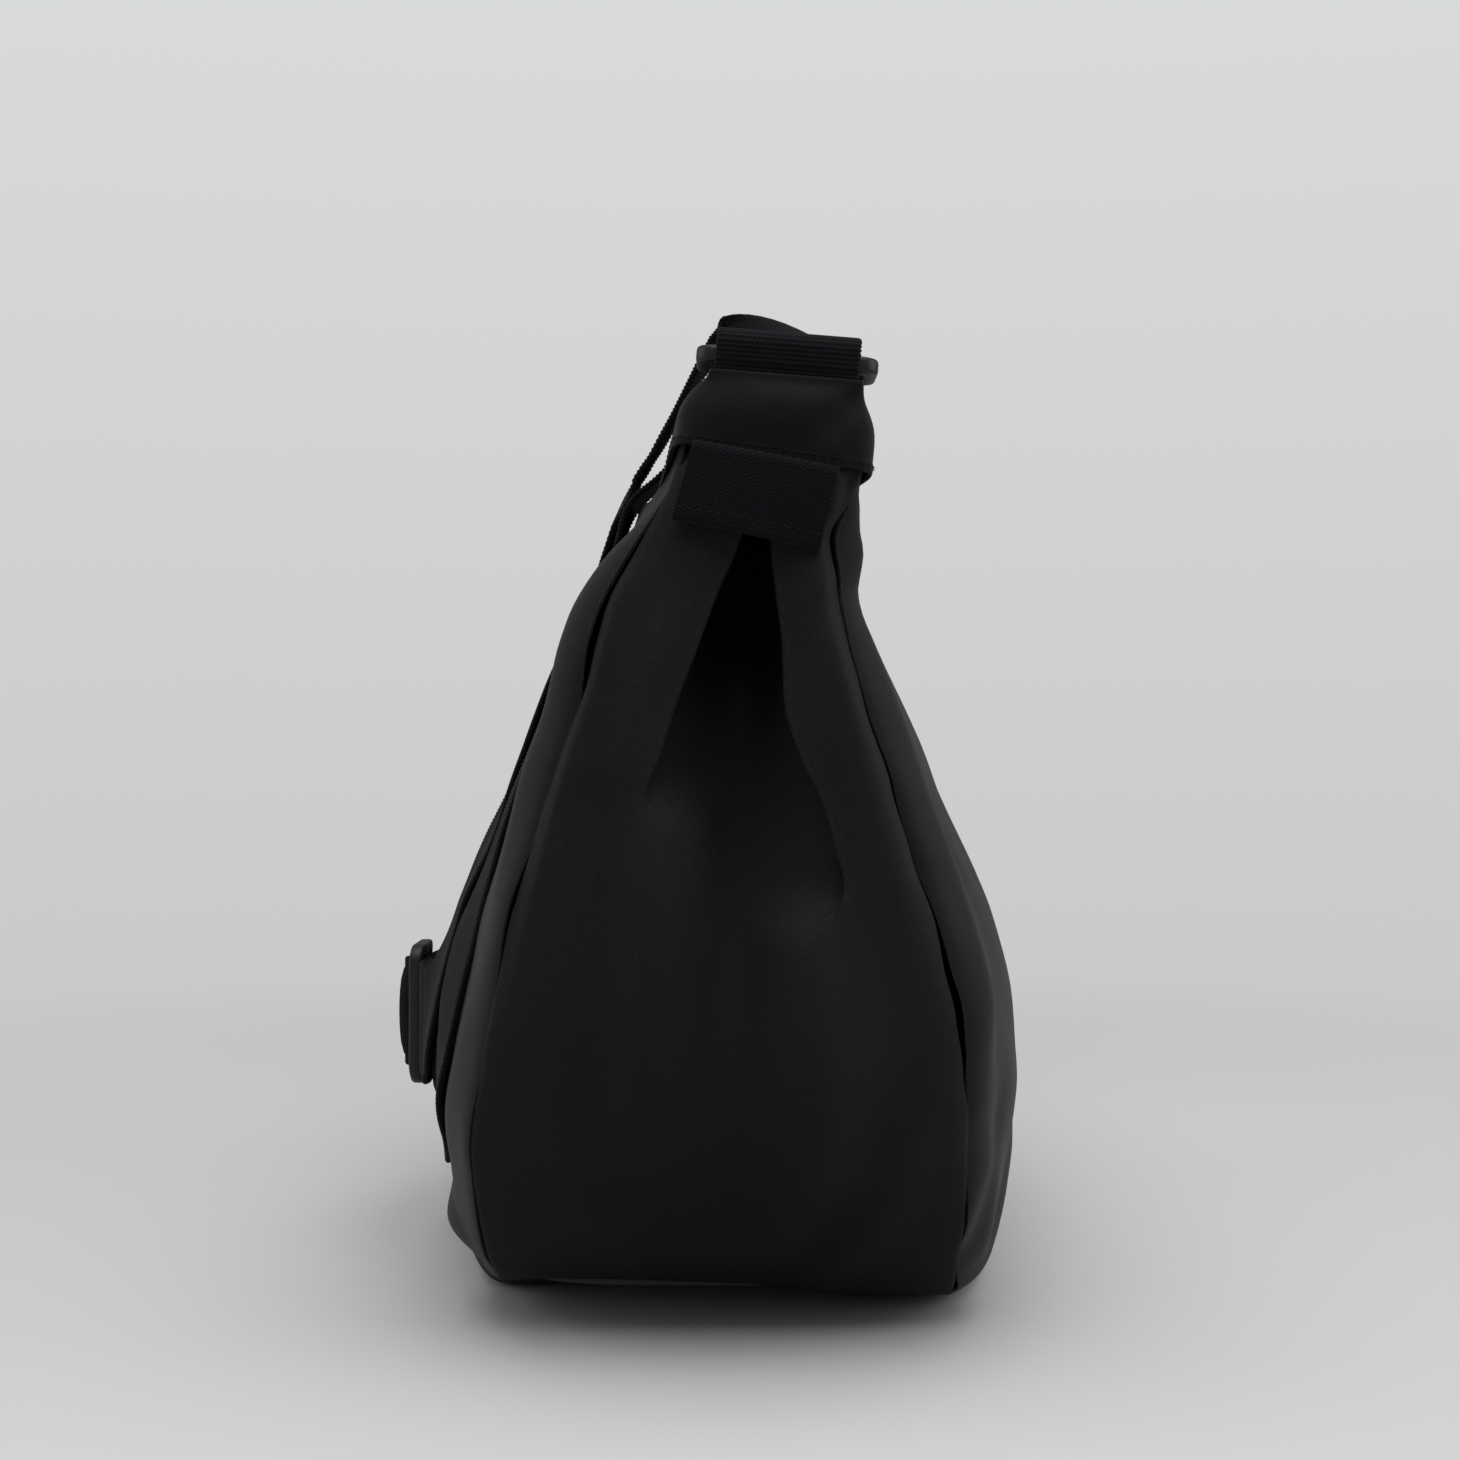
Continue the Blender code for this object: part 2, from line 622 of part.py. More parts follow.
def zipper_pull(slide, seat, material):
    # A flat puller whose end bar lies in the bail's window
    bar = PULL_EDGE + PULL_THICKNESS / 2
    window = BAIL_HALF_SPAN - BAIL_WALL
    axis = seat + Vector((-window + SLIDER_CLEARANCE + bar, 0.0, BAIL_CLEAR / 2))
    swing = joint_empty("pull_axis", axis)
    low = (-PULL_LENGTH, -PULL_HALF_WIDTH, -PULL_THICKNESS / 2)
    mesh = box_mesh("pull", low, (bar, PULL_HALF_WIDTH, PULL_THICKNESS / 2))
    mesh.transform(swing.matrix_basis)
    obj = new_object("zipper_pull", mesh, material, swing)
    hole_half = BAIL_HALF_WIDTH + SLIDER_CLEARANCE
    low = (-PULL_HOLE - bar, -hole_half, -PULL_THICKNESS)
    mesh = box_mesh("pull_hole", low, (-bar, hole_half, PULL_THICKNESS))
    mesh.transform(swing.matrix_basis)
    combine(obj, "pull_hole", mesh)
    swing.parent = slide
    swing.matrix_parent_inverse = slide.matrix_basis.inverted()


# End caps, grab tabs, webbing and rings

def end_side(side):
    # Where a horn's webbing turns and how it is rolled about the bag's length
    roll = LEFT_ROLL if side < 0 else RIGHT_ROLL
    x = side * (HALF_LENGTH - RING_INSET)
    y = lean(side * HALF_LENGTH, HORN_TOP) - RING_OVER_HORN * math.tan(2 * roll)
    return Vector((x, y, HORN_TOP + RING_OVER_HORN)), roll


def rounded_rectangle(half_x, half_y, radius, side_steps=1):
    # Points anticlockwise round a rectangle with round corners, its long sides in
    # side_steps pieces
    points = []
    for corner in range(4):
        middle_x = (half_x - radius) * (1 if corner in (0, 3) else -1)
        middle_y = (half_y - radius) * (1 if corner in (0, 1) else -1)
        for i in range(CORNER_STEPS + 1):
            angle = math.pi / 2 * (corner + i / CORNER_STEPS)
            x = middle_x + radius * math.cos(angle)
            points.append((x, middle_y + radius * math.sin(angle)))
        if corner in (0, 2):
            x, y = points[-1]
            for i in range(1, side_steps):
                points.append((x - 2 * middle_x * i / side_steps, y))
    return points


def frame_mesh(name, half_x, half_y):
    # A frame of one bar with round corners, lying flat
    flat = BAR / 2 - BAR_EDGE
    profile = [
        (BAR / 2, -flat), (BAR / 2, flat), (flat, BAR / 2), (-flat, BAR / 2),
        (-BAR / 2, flat), (-BAR / 2, -flat), (-flat, -BAR / 2), (flat, -BAR / 2),
    ]
    bm = bmesh.new()
    lines = []
    for out, up in profile:
        offset = out - BAR / 2
        path = rounded_rectangle(half_x + offset, half_y + offset, FRAME_CORNER + offset)
        lines.append([bm.verts.new((x, y, up)) for x, y in path])
    for i, line in enumerate(lines):
        other = lines[(i + 1) % len(lines)]
        for j in range(len(line)):
            k = (j + 1) % len(line)
            bm.faces.new((line[j], line[k], other[k], other[j]))
    return mesh_of(name, bm)


def end_cap(name, side, material):
    # A hood over the horn: a hem round it, a roof and a narrow neck for webbing
    place, roll = end_side(side)
    inner_end = HALF_LENGTH - CAP_LENGTH
    outer_end = HALF_LENGTH + CAP_CLEARANCE + CAP_CLOTH
    middle = (inner_end + outer_end) / 2
    half_x = (outer_end - inner_end) / 2
    half_y = BAND_HALF_WIDTH + CAP_CLEARANCE + CAP_CLOTH
    neck_y = WEBBING_WIDTH / 2 + FIT + CAP_CLOTH
    neck_x = HALF_LENGTH - RING_INSET
    roof = HORN_TOP + CAP_ROOF_RISE
    neck_top = HORN_TOP + CAP_NECK_RISE
    hem_slope = CAP_HEM_SLOPE * roll / LEFT_ROLL
    hem = HORN_TOP - CAP_HEM_DROP
    lowest = hem - math.tan(hem_slope) * half_y
    hem_y = half_y - BAND_HALF_WIDTH + end_half_depth(lowest)
    levels = [
        (hem, middle, half_x, hem_y, hem_slope, 0.0),
        (HORN_TOP, middle, half_x, half_y, roll, 0.0),
        (roof, middle, half_x - CAP_CLOTH, half_y - CAP_CLOTH, roll, 0.5),
        (roof + CAP_CLOTH, outer_end - half_x / 2, half_x / 2, neck_y, roll, 1.0),
        (neck_top, neck_x, CAP_NECK_HALF_LENGTH, neck_y, roll, 1.0),
    ]
    bm = bmesh.new()
    rings = []
    for z, x_centre, reach_x, reach_y, slope, turned in levels:
        neck_shift = place.y + (place.z - z) * math.tan(roll)
        ring = []
        corner = min(CAP_CORNER, reach_x / 2)
        for along, y in rounded_rectangle(reach_x, reach_y, corner, CAP_SIDE_STEPS):
            x = side * (x_centre + along)
            level = z + math.tan(slope) * y
            y += turned * neck_shift + (1 - turned) * lean(x, min(level, HORN_TOP))
            ring.append(bm.verts.new((x, y, level)))
        rings.append(ring if side > 0 else ring[::-1])
    for low, high in zip(rings, rings[1:]):
        for i in range(len(low)):
            j = (i + 1) % len(low)
            bm.faces.new((low[i], low[j], high[j], high[i]))
    obj = new_object(name, mesh_of(name, bm), material)
    thicken(obj, CAP_CLOTH)
    return obj


def loop_rows(place, roll, profile):
    # Rows across the webbing for a profile of (outward, up) points at a ring
    rows = []
    turn = Matrix.Rotation(roll, 3, "X")
    for out, up in profile:
        edge = Vector((0.0, WEBBING_WIDTH / 2, 0.0))
        middle = Vector((out, 0.0, up))
        rows.append([place + turn @ (middle - edge), place + turn @ (middle + edge)])
    return rows


def stadium(half_width, half_height, steps):
    # Points round an upright stadium, from its lower end round and back
    points = []
    straight = half_height - half_width
    for i in range(2 * steps):
        angle = math.pi * (i + 0.5) / steps
        up = straight if math.sin(angle) > 0 else -straight
        points.append((half_width * math.cos(angle), up + half_width * math.sin(angle)))
    return points


def anchor_webbing(name, side, material):
    # A loop of webbing round the ring's outer bar, standing in the cap's neck
    place, roll = end_side(side)
    half_width = BAR / 2 + FIT + WEBBING / 2
    half_height = ANCHOR_HALF_HEIGHT - WEBBING / 2
    rows = loop_rows(place, roll, stadium(half_width, half_height, LOOP_STEPS))
    if side > 0:
        rows = [row[::-1] for row in rows]
    obj = new_object(name, grid_mesh(name, rows, closed=True), material)
    thicken(obj, WEBBING, offset=0.0)
    low = (-WEBBING, -WEBBING_WIDTH / 2, -half_height - ANCHOR_TAIL)
    tail = box_mesh(name + "_tail", low, (WEBBING, WEBBING_WIDTH / 2, -half_height))
    tail.transform(Matrix.Translation(place) @ Matrix.Rotation(roll, 4, "X"))
    combine(obj, name + "_tail", tail, "UNION")
    return obj


def grab_tab(name, side, material):
    # A folded tab of webbing that hangs from the cap's hem
    roll = end_side(side)[1]
    slope = CAP_HEM_SLOPE * roll / LEFT_ROLL
    top = HORN_TOP - CAP_HEM_DROP - FIT
    x = side * (HALF_LENGTH + CAP_CLEARANCE + CAP_CLOTH + TAB_CLEARANCE)
    place = Vector((x, lean(x, HORN_TOP), top))
    hinge = joint_empty(name + "_hinge", place, slope)
    xs = sorted((0.0, side * 2 * WEBBING))
    low = (xs[0], -TAB_WIDTH / 2, -TAB_DROP)
    mesh = box_mesh(name, low, (xs[1], TAB_WIDTH / 2, 0.0), WEBBING / 4)
    mesh.transform(hinge.matrix_basis)
    new_object(name, mesh, material, hinge)


def ring(name, side, material):
    # A rectangular ring that hangs in the anchor webbing
    place, roll = end_side(side)
    hinge = joint_empty(name + "_hinge", place, roll)
    mesh = frame_mesh(name, RING_DEPTH / 2, RING_HALF_WIDTH)
    inwards = Vector((side * (BAR - RING_DEPTH) / 2, 0.0, 0.0))
    mesh.transform(hinge.matrix_basis @ Matrix.Translation(inwards))
    new_object(name, mesh, material, hinge)
    return hinge


def strap_loop(name, side, hinge, material):
    # The strap's turn round the ring's inner bar, open towards the strap. At the
    # right its lower end is sewn up to the upper one.
    place, roll = end_side(side)
    bar_x = -side * (RING_DEPTH - BAR)
    radius = BAR / 2 + TURN_FIT + WEBBING / 2
    slope = STRAP_LOOP_RISE / STRAP_LOOP_REACH
    drop = (WEBBING + FIT) * math.hypot(1.0, slope)
    last = LOOP_LAST if side < 0 else SEWN_LOOP_LAST

    def station(reach, up):
        return bar_x - side * reach, radius + up

    profile = [station(STRAP_LOOP_REACH, STRAP_LOOP_RISE)]
    for i in range(LOOP_STEPS + 1):
        angle = math.radians(90 + (last - 90) * i / LOOP_STEPS)
        profile.append(station(radius * math.cos(angle), radius * math.sin(angle) - radius))
    if side < 0:
        profile.append(station(STRAP_LOOP_REACH, -2 * radius - FIT))
    else:
        reach = STRAP_LOOP_REACH * SEWN_LOOP_SHARE
        profile.append(station(reach, slope * reach - drop))
        profile.append(station(STRAP_LOOP_REACH, STRAP_LOOP_RISE - drop))
    rows = loop_rows(place, roll, profile)
    if side > 0:
        rows = [row[::-1] for row in rows]
    obj = new_object(name, grid_mesh(name, rows), material, hinge)
    thicken(obj, WEBBING, offset=0.0)
    turn = Matrix.Rotation(roll, 3, "X")
    ends = []
    for out, up in (profile[0], profile[-1]):
        ends.append(place + turn @ Vector((out - 2 * side * FIT, 0.0, up)))
    return *ends, turn @ Vector((0.0, 0.0, 1.0))


# The strap between the rings

def smooth_path(points):
    # A curve through the points with RUN_STEPS pieces between each two
    path = []
    for i in range(len(points) - 1):
        before = points[max(0, i - 1)]
        a, b = points[i], points[i + 1]
        after = points[min(len(points) - 1, i + 2)]
        for j in range(RUN_STEPS):
            t = j / RUN_STEPS
            path.append(
                0.5 * (2 * a + (b - before) * t
                       + (2 * before - 5 * a + 4 * b - after) * t * t
                       + (3 * a - before - 3 * b + after) * t ** 3)
            )
    path.append(points[-1])
    return path


def webbing_run(name, stations, material):
    # Webbing through stations of a middle point and the way that its face looks
    middles = smooth_path([middle for middle, _ in stations])
    faces = smooth_path([face for _, face in stations])
    directions = [b - a for a, b in zip(middles, middles[2:])]
    directions = [Vector((1.0, 0.0, 0.0)), *directions, Vector((1.0, 0.0, 0.0))]
    rows = []
    for middle, face, along in zip(middles, faces, directions):
        half = face.cross(along).normalized() * WEBBING_WIDTH / 2
        rows.append([middle - half, middle + half])
    obj = new_object(name, grid_mesh(name, rows), material)
    thicken(obj, WEBBING, offset=0.0)
    return obj


def back_y(x, z):
    return half_depth(x, z) + lean(x, z)


def run_stations(shares):
    # Stations beside the back panel, from their shares
    stations = []
    for along, out, up, upward in shares:
        x = along * HALF_LENGTH
        z = up * BODY_HEIGHT
        y = back_y(x, z) + out * HALF_DEPTH
        step = WEBBING_WIDTH / 4
        slope_x = (back_y(x + step, z) - back_y(x - step, z)) / (2 * step)
        slope_z = (back_y(x, z + step) - back_y(x, z - step)) / (2 * step)
        face = Vector((-slope_x, 1.0, -slope_z)).normalized()
        face = face.lerp(Vector((0.0, 0.0, 1.0)), upward).normalized()
        stations.append((Vector((x, y, z)), face))
    return stations


def glide_place():
    x, y, z = glide_place_shares
    return Vector((x * HALF_LENGTH, y * HALF_DEPTH, z * BODY_HEIGHT))


def strap_glide(material):
    # The strap's adjuster: a frame with a middle bar and two slots
    slide = joint_empty("glide_place", glide_place())
    upright = slide.matrix_basis @ Matrix.Rotation(math.pi / 2, 4, "X")
    half_x = 3 * BAR / 2 + GLIDE_SLOT
    mesh = frame_mesh("strap_glide", half_x, RING_HALF_WIDTH)
    mesh.transform(upright)
    obj = new_object("strap_glide", mesh, material, slide)
    high = Vector((BAR / 2, RING_HALF_WIDTH - BAR / 2, BAR / 2))
    mesh = box_mesh("glide_bar", -high, high, BAR_EDGE)
    mesh.transform(upright)
    combine(obj, "glide_bar", mesh, "UNION")
    return slide


def glide_webbing(name, slide, profile, material):
    # Webbing that runs along the bag through the glide, its width upright
    half = Vector((0.0, 0.0, WEBBING_WIDTH / 2))
    rows = []
    for along, out in profile:
        middle = slide.location + Vector((along, out, 0.0))
        rows.append([middle - half, middle + half])
    obj = new_object(name, grid_mesh(name, rows), material, slide)
    thicken(obj, WEBBING, offset=0.0)


def arc(radius, first, last):
    # Points round the middle bar, from one angle to another in degrees
    points = []
    for i in range(LOOP_STEPS + 1):
        angle = math.radians(first + (last - first) * i / LOOP_STEPS)
        points.append((radius * math.cos(angle), radius * math.sin(angle)))
    return points


def strap(loop_ends, materials):
    # The pass over the glide's bar, the sewn end round it and the three runs
    webbing = materials["webbing"]
    slide = strap_glide(materials["plastic"])
    inner = BAR / 2 + TURN_FIT + WEBBING / 2
    outer = inner + WEBBING + FIT
    over = [(-GLIDE_REACH, -inner), (-outer - GLIDE_BEND, -inner)]
    over += arc(outer, 180, 0)
    over += [(outer + GLIDE_BEND, -inner), (GLIDE_REACH, -inner)]
    glide_webbing("strap_glide_pass", slide, over, webbing)
    below = outer + FIT
    sewn = [(-GLIDE_REACH, -below), (-outer - GLIDE_BEND, -below)]
    sewn += arc(inner, SEWN_FIRST, SEWN_LAST)
    glide_webbing("strap_sewn_end", slide, sewn, webbing)
    back = Vector((0.0, 1.0, 0.0))
    lead = Vector((STRAP_LEAD, 0.0, 0.0))
    near = slide.location + Vector((-GLIDE_REACH - 2 * FIT, 0.0, 0.0))
    far = slide.location + Vector((GLIDE_REACH + 2 * FIT, 0.0, 0.0))
    left_up, left_low, left_face = loop_ends["left"]
    right_up, _, right_face = loop_ends["right"]
    layers = (
        ("strap_upper_layer", left_up, upper_layer_shares, near - inner * back),
        ("strap_lower_layer", left_low, lower_layer_shares, near - below * back),
    )
    for name, start, shares, end in layers:
        stations = [(start, left_face), (start + lead, left_face)]
        stations += run_stations(shares)
        stations += [(end - lead, back), (end, back)]
        webbing_run(name, stations, webbing)
    start = far - inner * back
    stations = [(start, back), (start + lead, back)] + run_stations(single_run_shares)
    stations += [(right_up - lead, right_face), (right_up, right_face)]
    webbing_run("strap_single_run", stations, webbing)


def main():
    clear_scene()
    materials = make_materials()
    nylon = materials["nylon"]
    webbing = materials["webbing"]
    side_panel("front_panel", -1, nylon)
    side_panel("back_panel", 1, nylon)
    end_gusset("end_gusset_left", -1, nylon)
    end_gusset("end_gusset_right", 1, nylon)
    base_panel(nylon)
    base_board(materials["board"])
    lining(materials["lining"])
    inner_pocket(materials["lining"])
    lip("lip_front", -1, materials)
    lip("lip_back", 1, materials)
    loop_ends = {}
    for side, tag in ((-1, "left"), (1, "right")):
        band_end("band_end_" + tag, side, nylon)
        zipper_end(side, materials)
        end_cap("end_cap_" + tag, side, nylon)
        anchor_webbing("anchor_webbing_" + tag, side, webbing)
        grab_tab("grab_tab_" + tag, side, webbing)
        hinge = ring("ring_" + tag, side, materials["plastic"])
        loop_ends[tag] = strap_loop("strap_loop_" + tag, side, hinge, webbing)
    slide, seat = zipper_slider(materials)
    zipper_pull(slide, seat, materials["metal"])
    strap(loop_ends, materials)


main()
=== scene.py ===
# Half moon crossbody bag in matte black nylon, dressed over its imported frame.
# Metres, +X along the bag, the front panel at -Y, the strap behind it at +Y.
import math

import bmesh
import bpy
from mathutils import Matrix, Vector, noise


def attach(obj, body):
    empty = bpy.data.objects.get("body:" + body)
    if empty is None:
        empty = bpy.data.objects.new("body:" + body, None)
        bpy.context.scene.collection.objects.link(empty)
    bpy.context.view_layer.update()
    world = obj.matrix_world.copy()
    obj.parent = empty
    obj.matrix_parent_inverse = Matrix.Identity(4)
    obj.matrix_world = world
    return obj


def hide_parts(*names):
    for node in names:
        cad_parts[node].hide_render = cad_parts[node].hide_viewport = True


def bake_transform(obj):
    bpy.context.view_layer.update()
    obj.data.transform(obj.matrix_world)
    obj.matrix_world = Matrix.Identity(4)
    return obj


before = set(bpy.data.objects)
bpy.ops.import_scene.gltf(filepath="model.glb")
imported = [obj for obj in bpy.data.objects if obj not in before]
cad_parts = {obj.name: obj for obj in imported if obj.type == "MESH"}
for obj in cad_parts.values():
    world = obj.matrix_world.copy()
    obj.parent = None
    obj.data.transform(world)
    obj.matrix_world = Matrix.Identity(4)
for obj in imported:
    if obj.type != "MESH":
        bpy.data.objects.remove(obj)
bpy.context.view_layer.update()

scene = bpy.context.scene
print("frame loaded:", len(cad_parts), "nodes")


# Small helpers

def evenly(first, last, count):
    return [first + (last - first) * i / count for i in range(count + 1)]


def arc(x, radius, first, last, steps, way=1):
    # Places round x, from one angle in degrees to another
    return [(x + way * radius * math.cos(a), radius * math.sin(a))
            for a in evenly(math.radians(first), math.radians(last), steps)]


def smooth(t):
    t = min(1.0, max(0.0, t))
    return t * t * (3 - 2 * t)


def between(at, low, high, soft):
    # 1 between two values, with soft ends inside them
    return smooth((at - low) / soft) * smooth((high - at) / soft)


def bell(at, middle, width):
    return math.exp(-((at - middle) / width) ** 2)


# Camera, floor and light

view = {
    "place": (-0.794, 0.0, 0.177),     # level with the bag, 0.6 m from its left ring
    "lens": 56.2, "sensor": 36.0,
    "floorRadius": 2.0, "floorSides": 96, "floorFade": (0.26, 0.95),
    "floorColour": (0.63, 0.63, 0.625),
    "skyLow": (0.585, 0.597, 0.592), "skyHigh": (0.70, 0.71, 0.71), "skyRise": (-0.1, 0.32),
    "fillColour": (1.0, 1.0, 1.0), "fillStrength": 0.26,
}
lamps = [
    # name, place, looks at, width, height, watts
    ("overhead", (-0.60, -0.05, 1.6), (-0.12, 0.0, 0.1), 1.9, 1.9, 28.0),
    ("frontSide", (-0.15, -1.5, 0.65), (0.0, 0.0, 0.12), 1.1, 1.1, 5.6),
    ("backSide", (0.1, 1.5, 0.65), (0.0, 0.0, 0.12), 1.1, 1.1, 4.0),
]


def addNode(tree, kind, inputs=None, **settings):
    # A node with its settings, and its sockets fed by values or by other sockets
    node = tree.nodes.new(kind)
    for name, value in settings.items():
        setattr(node, name, value)
    for key, value in (inputs or {}).items():
        if isinstance(value, bpy.types.NodeSocket):
            tree.links.new(value, node.inputs[key])
        else:
            node.inputs[key].default_value = value
    return node


def mixColours(tree, factor, first, second, blend="MIX"):
    inputs = {"Factor": factor}
    for key, value in (("A", first), ("B", second)):
        inputs[key] = value if isinstance(value, bpy.types.NodeSocket) else (*value, 1)
    return addNode(tree, "ShaderNodeMix", inputs, data_type="RGBA",
                   blend_type=blend).outputs["Result"]


def mathNode(tree, operation, *values):
    return addNode(tree, "ShaderNodeMath", dict(enumerate(values)),
                   operation=operation).outputs[0]


def noiseNode(tree, vector, scale, detail=2.0):
    return addNode(tree, "ShaderNodeTexNoise", {
        "Vector": vector, "Scale": scale, "Detail": detail}).outputs["Fac"]


def ramp(tree, value, low, high, toLow=0.0, toHigh=1.0):
    return addNode(tree, "ShaderNodeMapRange", {
        "Value": value, "From Min": low, "From Max": high,
        "To Min": toLow, "To Max": toHigh}).outputs[0]


def clearTree(owner):
    owner.use_nodes = True
    owner.node_tree.nodes.clear()
    return owner.node_tree


def addObject(name, data):
    made = bpy.data.objects.new(name, data)
    scene.collection.objects.link(made)
    return made


def makeSky():
    scene.world = bpy.data.worlds.new("softRoom")
    tree = clearTree(scene.world)
    where = addNode(tree, "ShaderNodeTexCoord").outputs["Generated"]
    height = addNode(tree, "ShaderNodeSeparateXYZ", {0: where}).outputs["Z"]
    shade = mixColours(tree, ramp(tree, height, *view["skyRise"]),
                       view["skyLow"], view["skyHigh"])
    fill = addNode(tree, "ShaderNodeBackground", {
        "Color": (*view["fillColour"], 1), "Strength": view["fillStrength"]})
    seen = addNode(tree, "ShaderNodeBackground", {"Color": shade})
    path = addNode(tree, "ShaderNodeLightPath")
    mix = addNode(tree, "ShaderNodeMixShader", {
        0: path.outputs["Is Camera Ray"], 1: fill.outputs[0], 2: seen.outputs[0]})
    addNode(tree, "ShaderNodeOutputWorld", {"Surface": mix.outputs[0]})


def makeFloor():
    # A wide pale disc that fades out into the room before its rim
    sides, radius = view["floorSides"], view["floorRadius"]
    rim = [(x, y, 0.0) for x, y in arc(0.0, radius, 0, 360, sides)[:-1]]
    mesh = bpy.data.meshes.new("floor")
    mesh.from_pydata([(0.0, 0.0, 0.0), *rim], [], [
        (0, i + 1, (i + 1) % sides + 1) for i in range(sides)])
    floor = addObject("floor", mesh)
    material = bpy.data.materials.new("paleFloor")
    tree = clearTree(material)
    where = addNode(tree, "ShaderNodeTexCoord").outputs["Object"]
    away = addNode(tree, "ShaderNodeVectorMath", {0: where}, operation="LENGTH")
    near, far = view["floorFade"]
    fade = addNode(tree, "ShaderNodeMapRange", {
        "Value": away.outputs["Value"], "From Min": near, "From Max": far},
        interpolation_type="SMOOTHSTEP")
    pale = addNode(tree, "ShaderNodeBsdfDiffuse", {"Color": (*view["floorColour"], 1)})
    clear = addNode(tree, "ShaderNodeBsdfTransparent")
    mix = addNode(tree, "ShaderNodeMixShader", {
        0: fade.outputs[0], 1: pale.outputs[0], 2: clear.outputs[0]})
    addNode(tree, "ShaderNodeOutputMaterial", {"Surface": mix.outputs[0]})
    mesh.materials.append(material)


def makeLamps():
    for name, place, target, width, height, watts in lamps:
        data = bpy.data.lights.new(name, "AREA")
        data.shape = "RECTANGLE"
        data.size, data.size_y, data.energy = width, height, watts
        lamp = addObject(name, data)
        lamp.location = place
        aim = Vector(target) - Vector(place)
        lamp.rotation_euler = aim.to_track_quat("-Z", "Y").to_euler()


def makeCamera():
    data = bpy.data.cameras.new("photoView")
    data.lens, data.sensor_width, data.clip_start = view["lens"], view["sensor"], 0.01
    scene.camera = addObject("photoView", data)
    scene.camera.location = view["place"]
    scene.camera.rotation_euler = (math.radians(90), 0.0, math.radians(-90))


makeSky()
makeFloor()
makeLamps()
makeCamera()
scene.view_settings.view_transform = "Standard"
print("camera, floor and light ready")


# Finishes

cloth = {
    "dark": (0.0083, 0.0080, 0.0091), "light": (0.0128, 0.0122, 0.0139),
    # deep: the painted shade colour, used near the floor and in the pleat's hollows
    "worn": (0.026, 0.025, 0.0275), "deep": (0.0010, 0.0010, 0.0012),
    "thread": 0.00055, "patchScale": 9.0, "fuzzScale": 1500.0, "weaveDepth": 0.00006,
    "lint": (0.14, 0.14, 0.145), "lintScale": 70.0, "lintSize": 0.036, "lintFrom": 0.93,
    "paintedLowShade": 0.95, "lowTop": 0.125,     # painted shade: the cloth darkens towards the floor
}


def newFinish(name, roughness, sheen, metallic, level):
    material = bpy.data.materials.new(name)
    material.use_nodes = True
    tree = material.node_tree
    shader = tree.nodes["Principled BSDF"]
    for key, value in (("Roughness", roughness), ("Metallic", metallic),
                       ("Specular IOR Level", level), ("Sheen Weight", sheen),
                       ("Sheen Roughness", 0.45), ("Sheen Tint", (0.9, 0.93, 1.0, 1))):
        shader.inputs[key].default_value = value
    where = addNode(tree, "ShaderNodeTexCoord").outputs["Object"]
    return material, tree, shader, where


def weaveOf(tree, pitchAcross, pitchAlong):
    # Two sets of threads that pass over each other in turn, on the piece's weave map
    spot = addNode(tree, "ShaderNodeUVMap", uv_map="weave").outputs[0]
    split = addNode(tree, "ShaderNodeSeparateXYZ", {0: spot}).outputs
    return mathNode(tree, "MULTIPLY", *(
        mathNode(tree, "SINE", mathNode(tree, "MULTIPLY", split[axis], 2 * math.pi / pitch))
        for axis, pitch in (("X", pitchAcross), ("Y", pitchAlong))))


def patchy(tree, patches, dark, light):
    return mixColours(tree, ramp(tree, patches, 0.3, 0.7), dark, light)


def speckled(tree, tone, weave, share, fuzz, low, high):
    # The tone made darker and lighter from thread to thread
    total = mathNode(tree, "ADD", mathNode(tree, "MULTIPLY", weave, share), fuzz)
    speck = ramp(tree, total, 0.2, 0.9, low, high)
    grey = addNode(tree, "ShaderNodeCombineXYZ", {0: speck, 1: speck, 2: speck})
    return mixColours(tree, 1.0, tone, grey.outputs[0], "MULTIPLY")


def closeFinish(tree, shader, tone, relief, strength, depth):
    tree.links.new(tone, shader.inputs["Base Color"])
    bump = addNode(tree, "ShaderNodeBump", {
        "Strength": strength, "Distance": depth, "Height": relief})
    tree.links.new(bump.outputs[0], shader.inputs["Normal"])


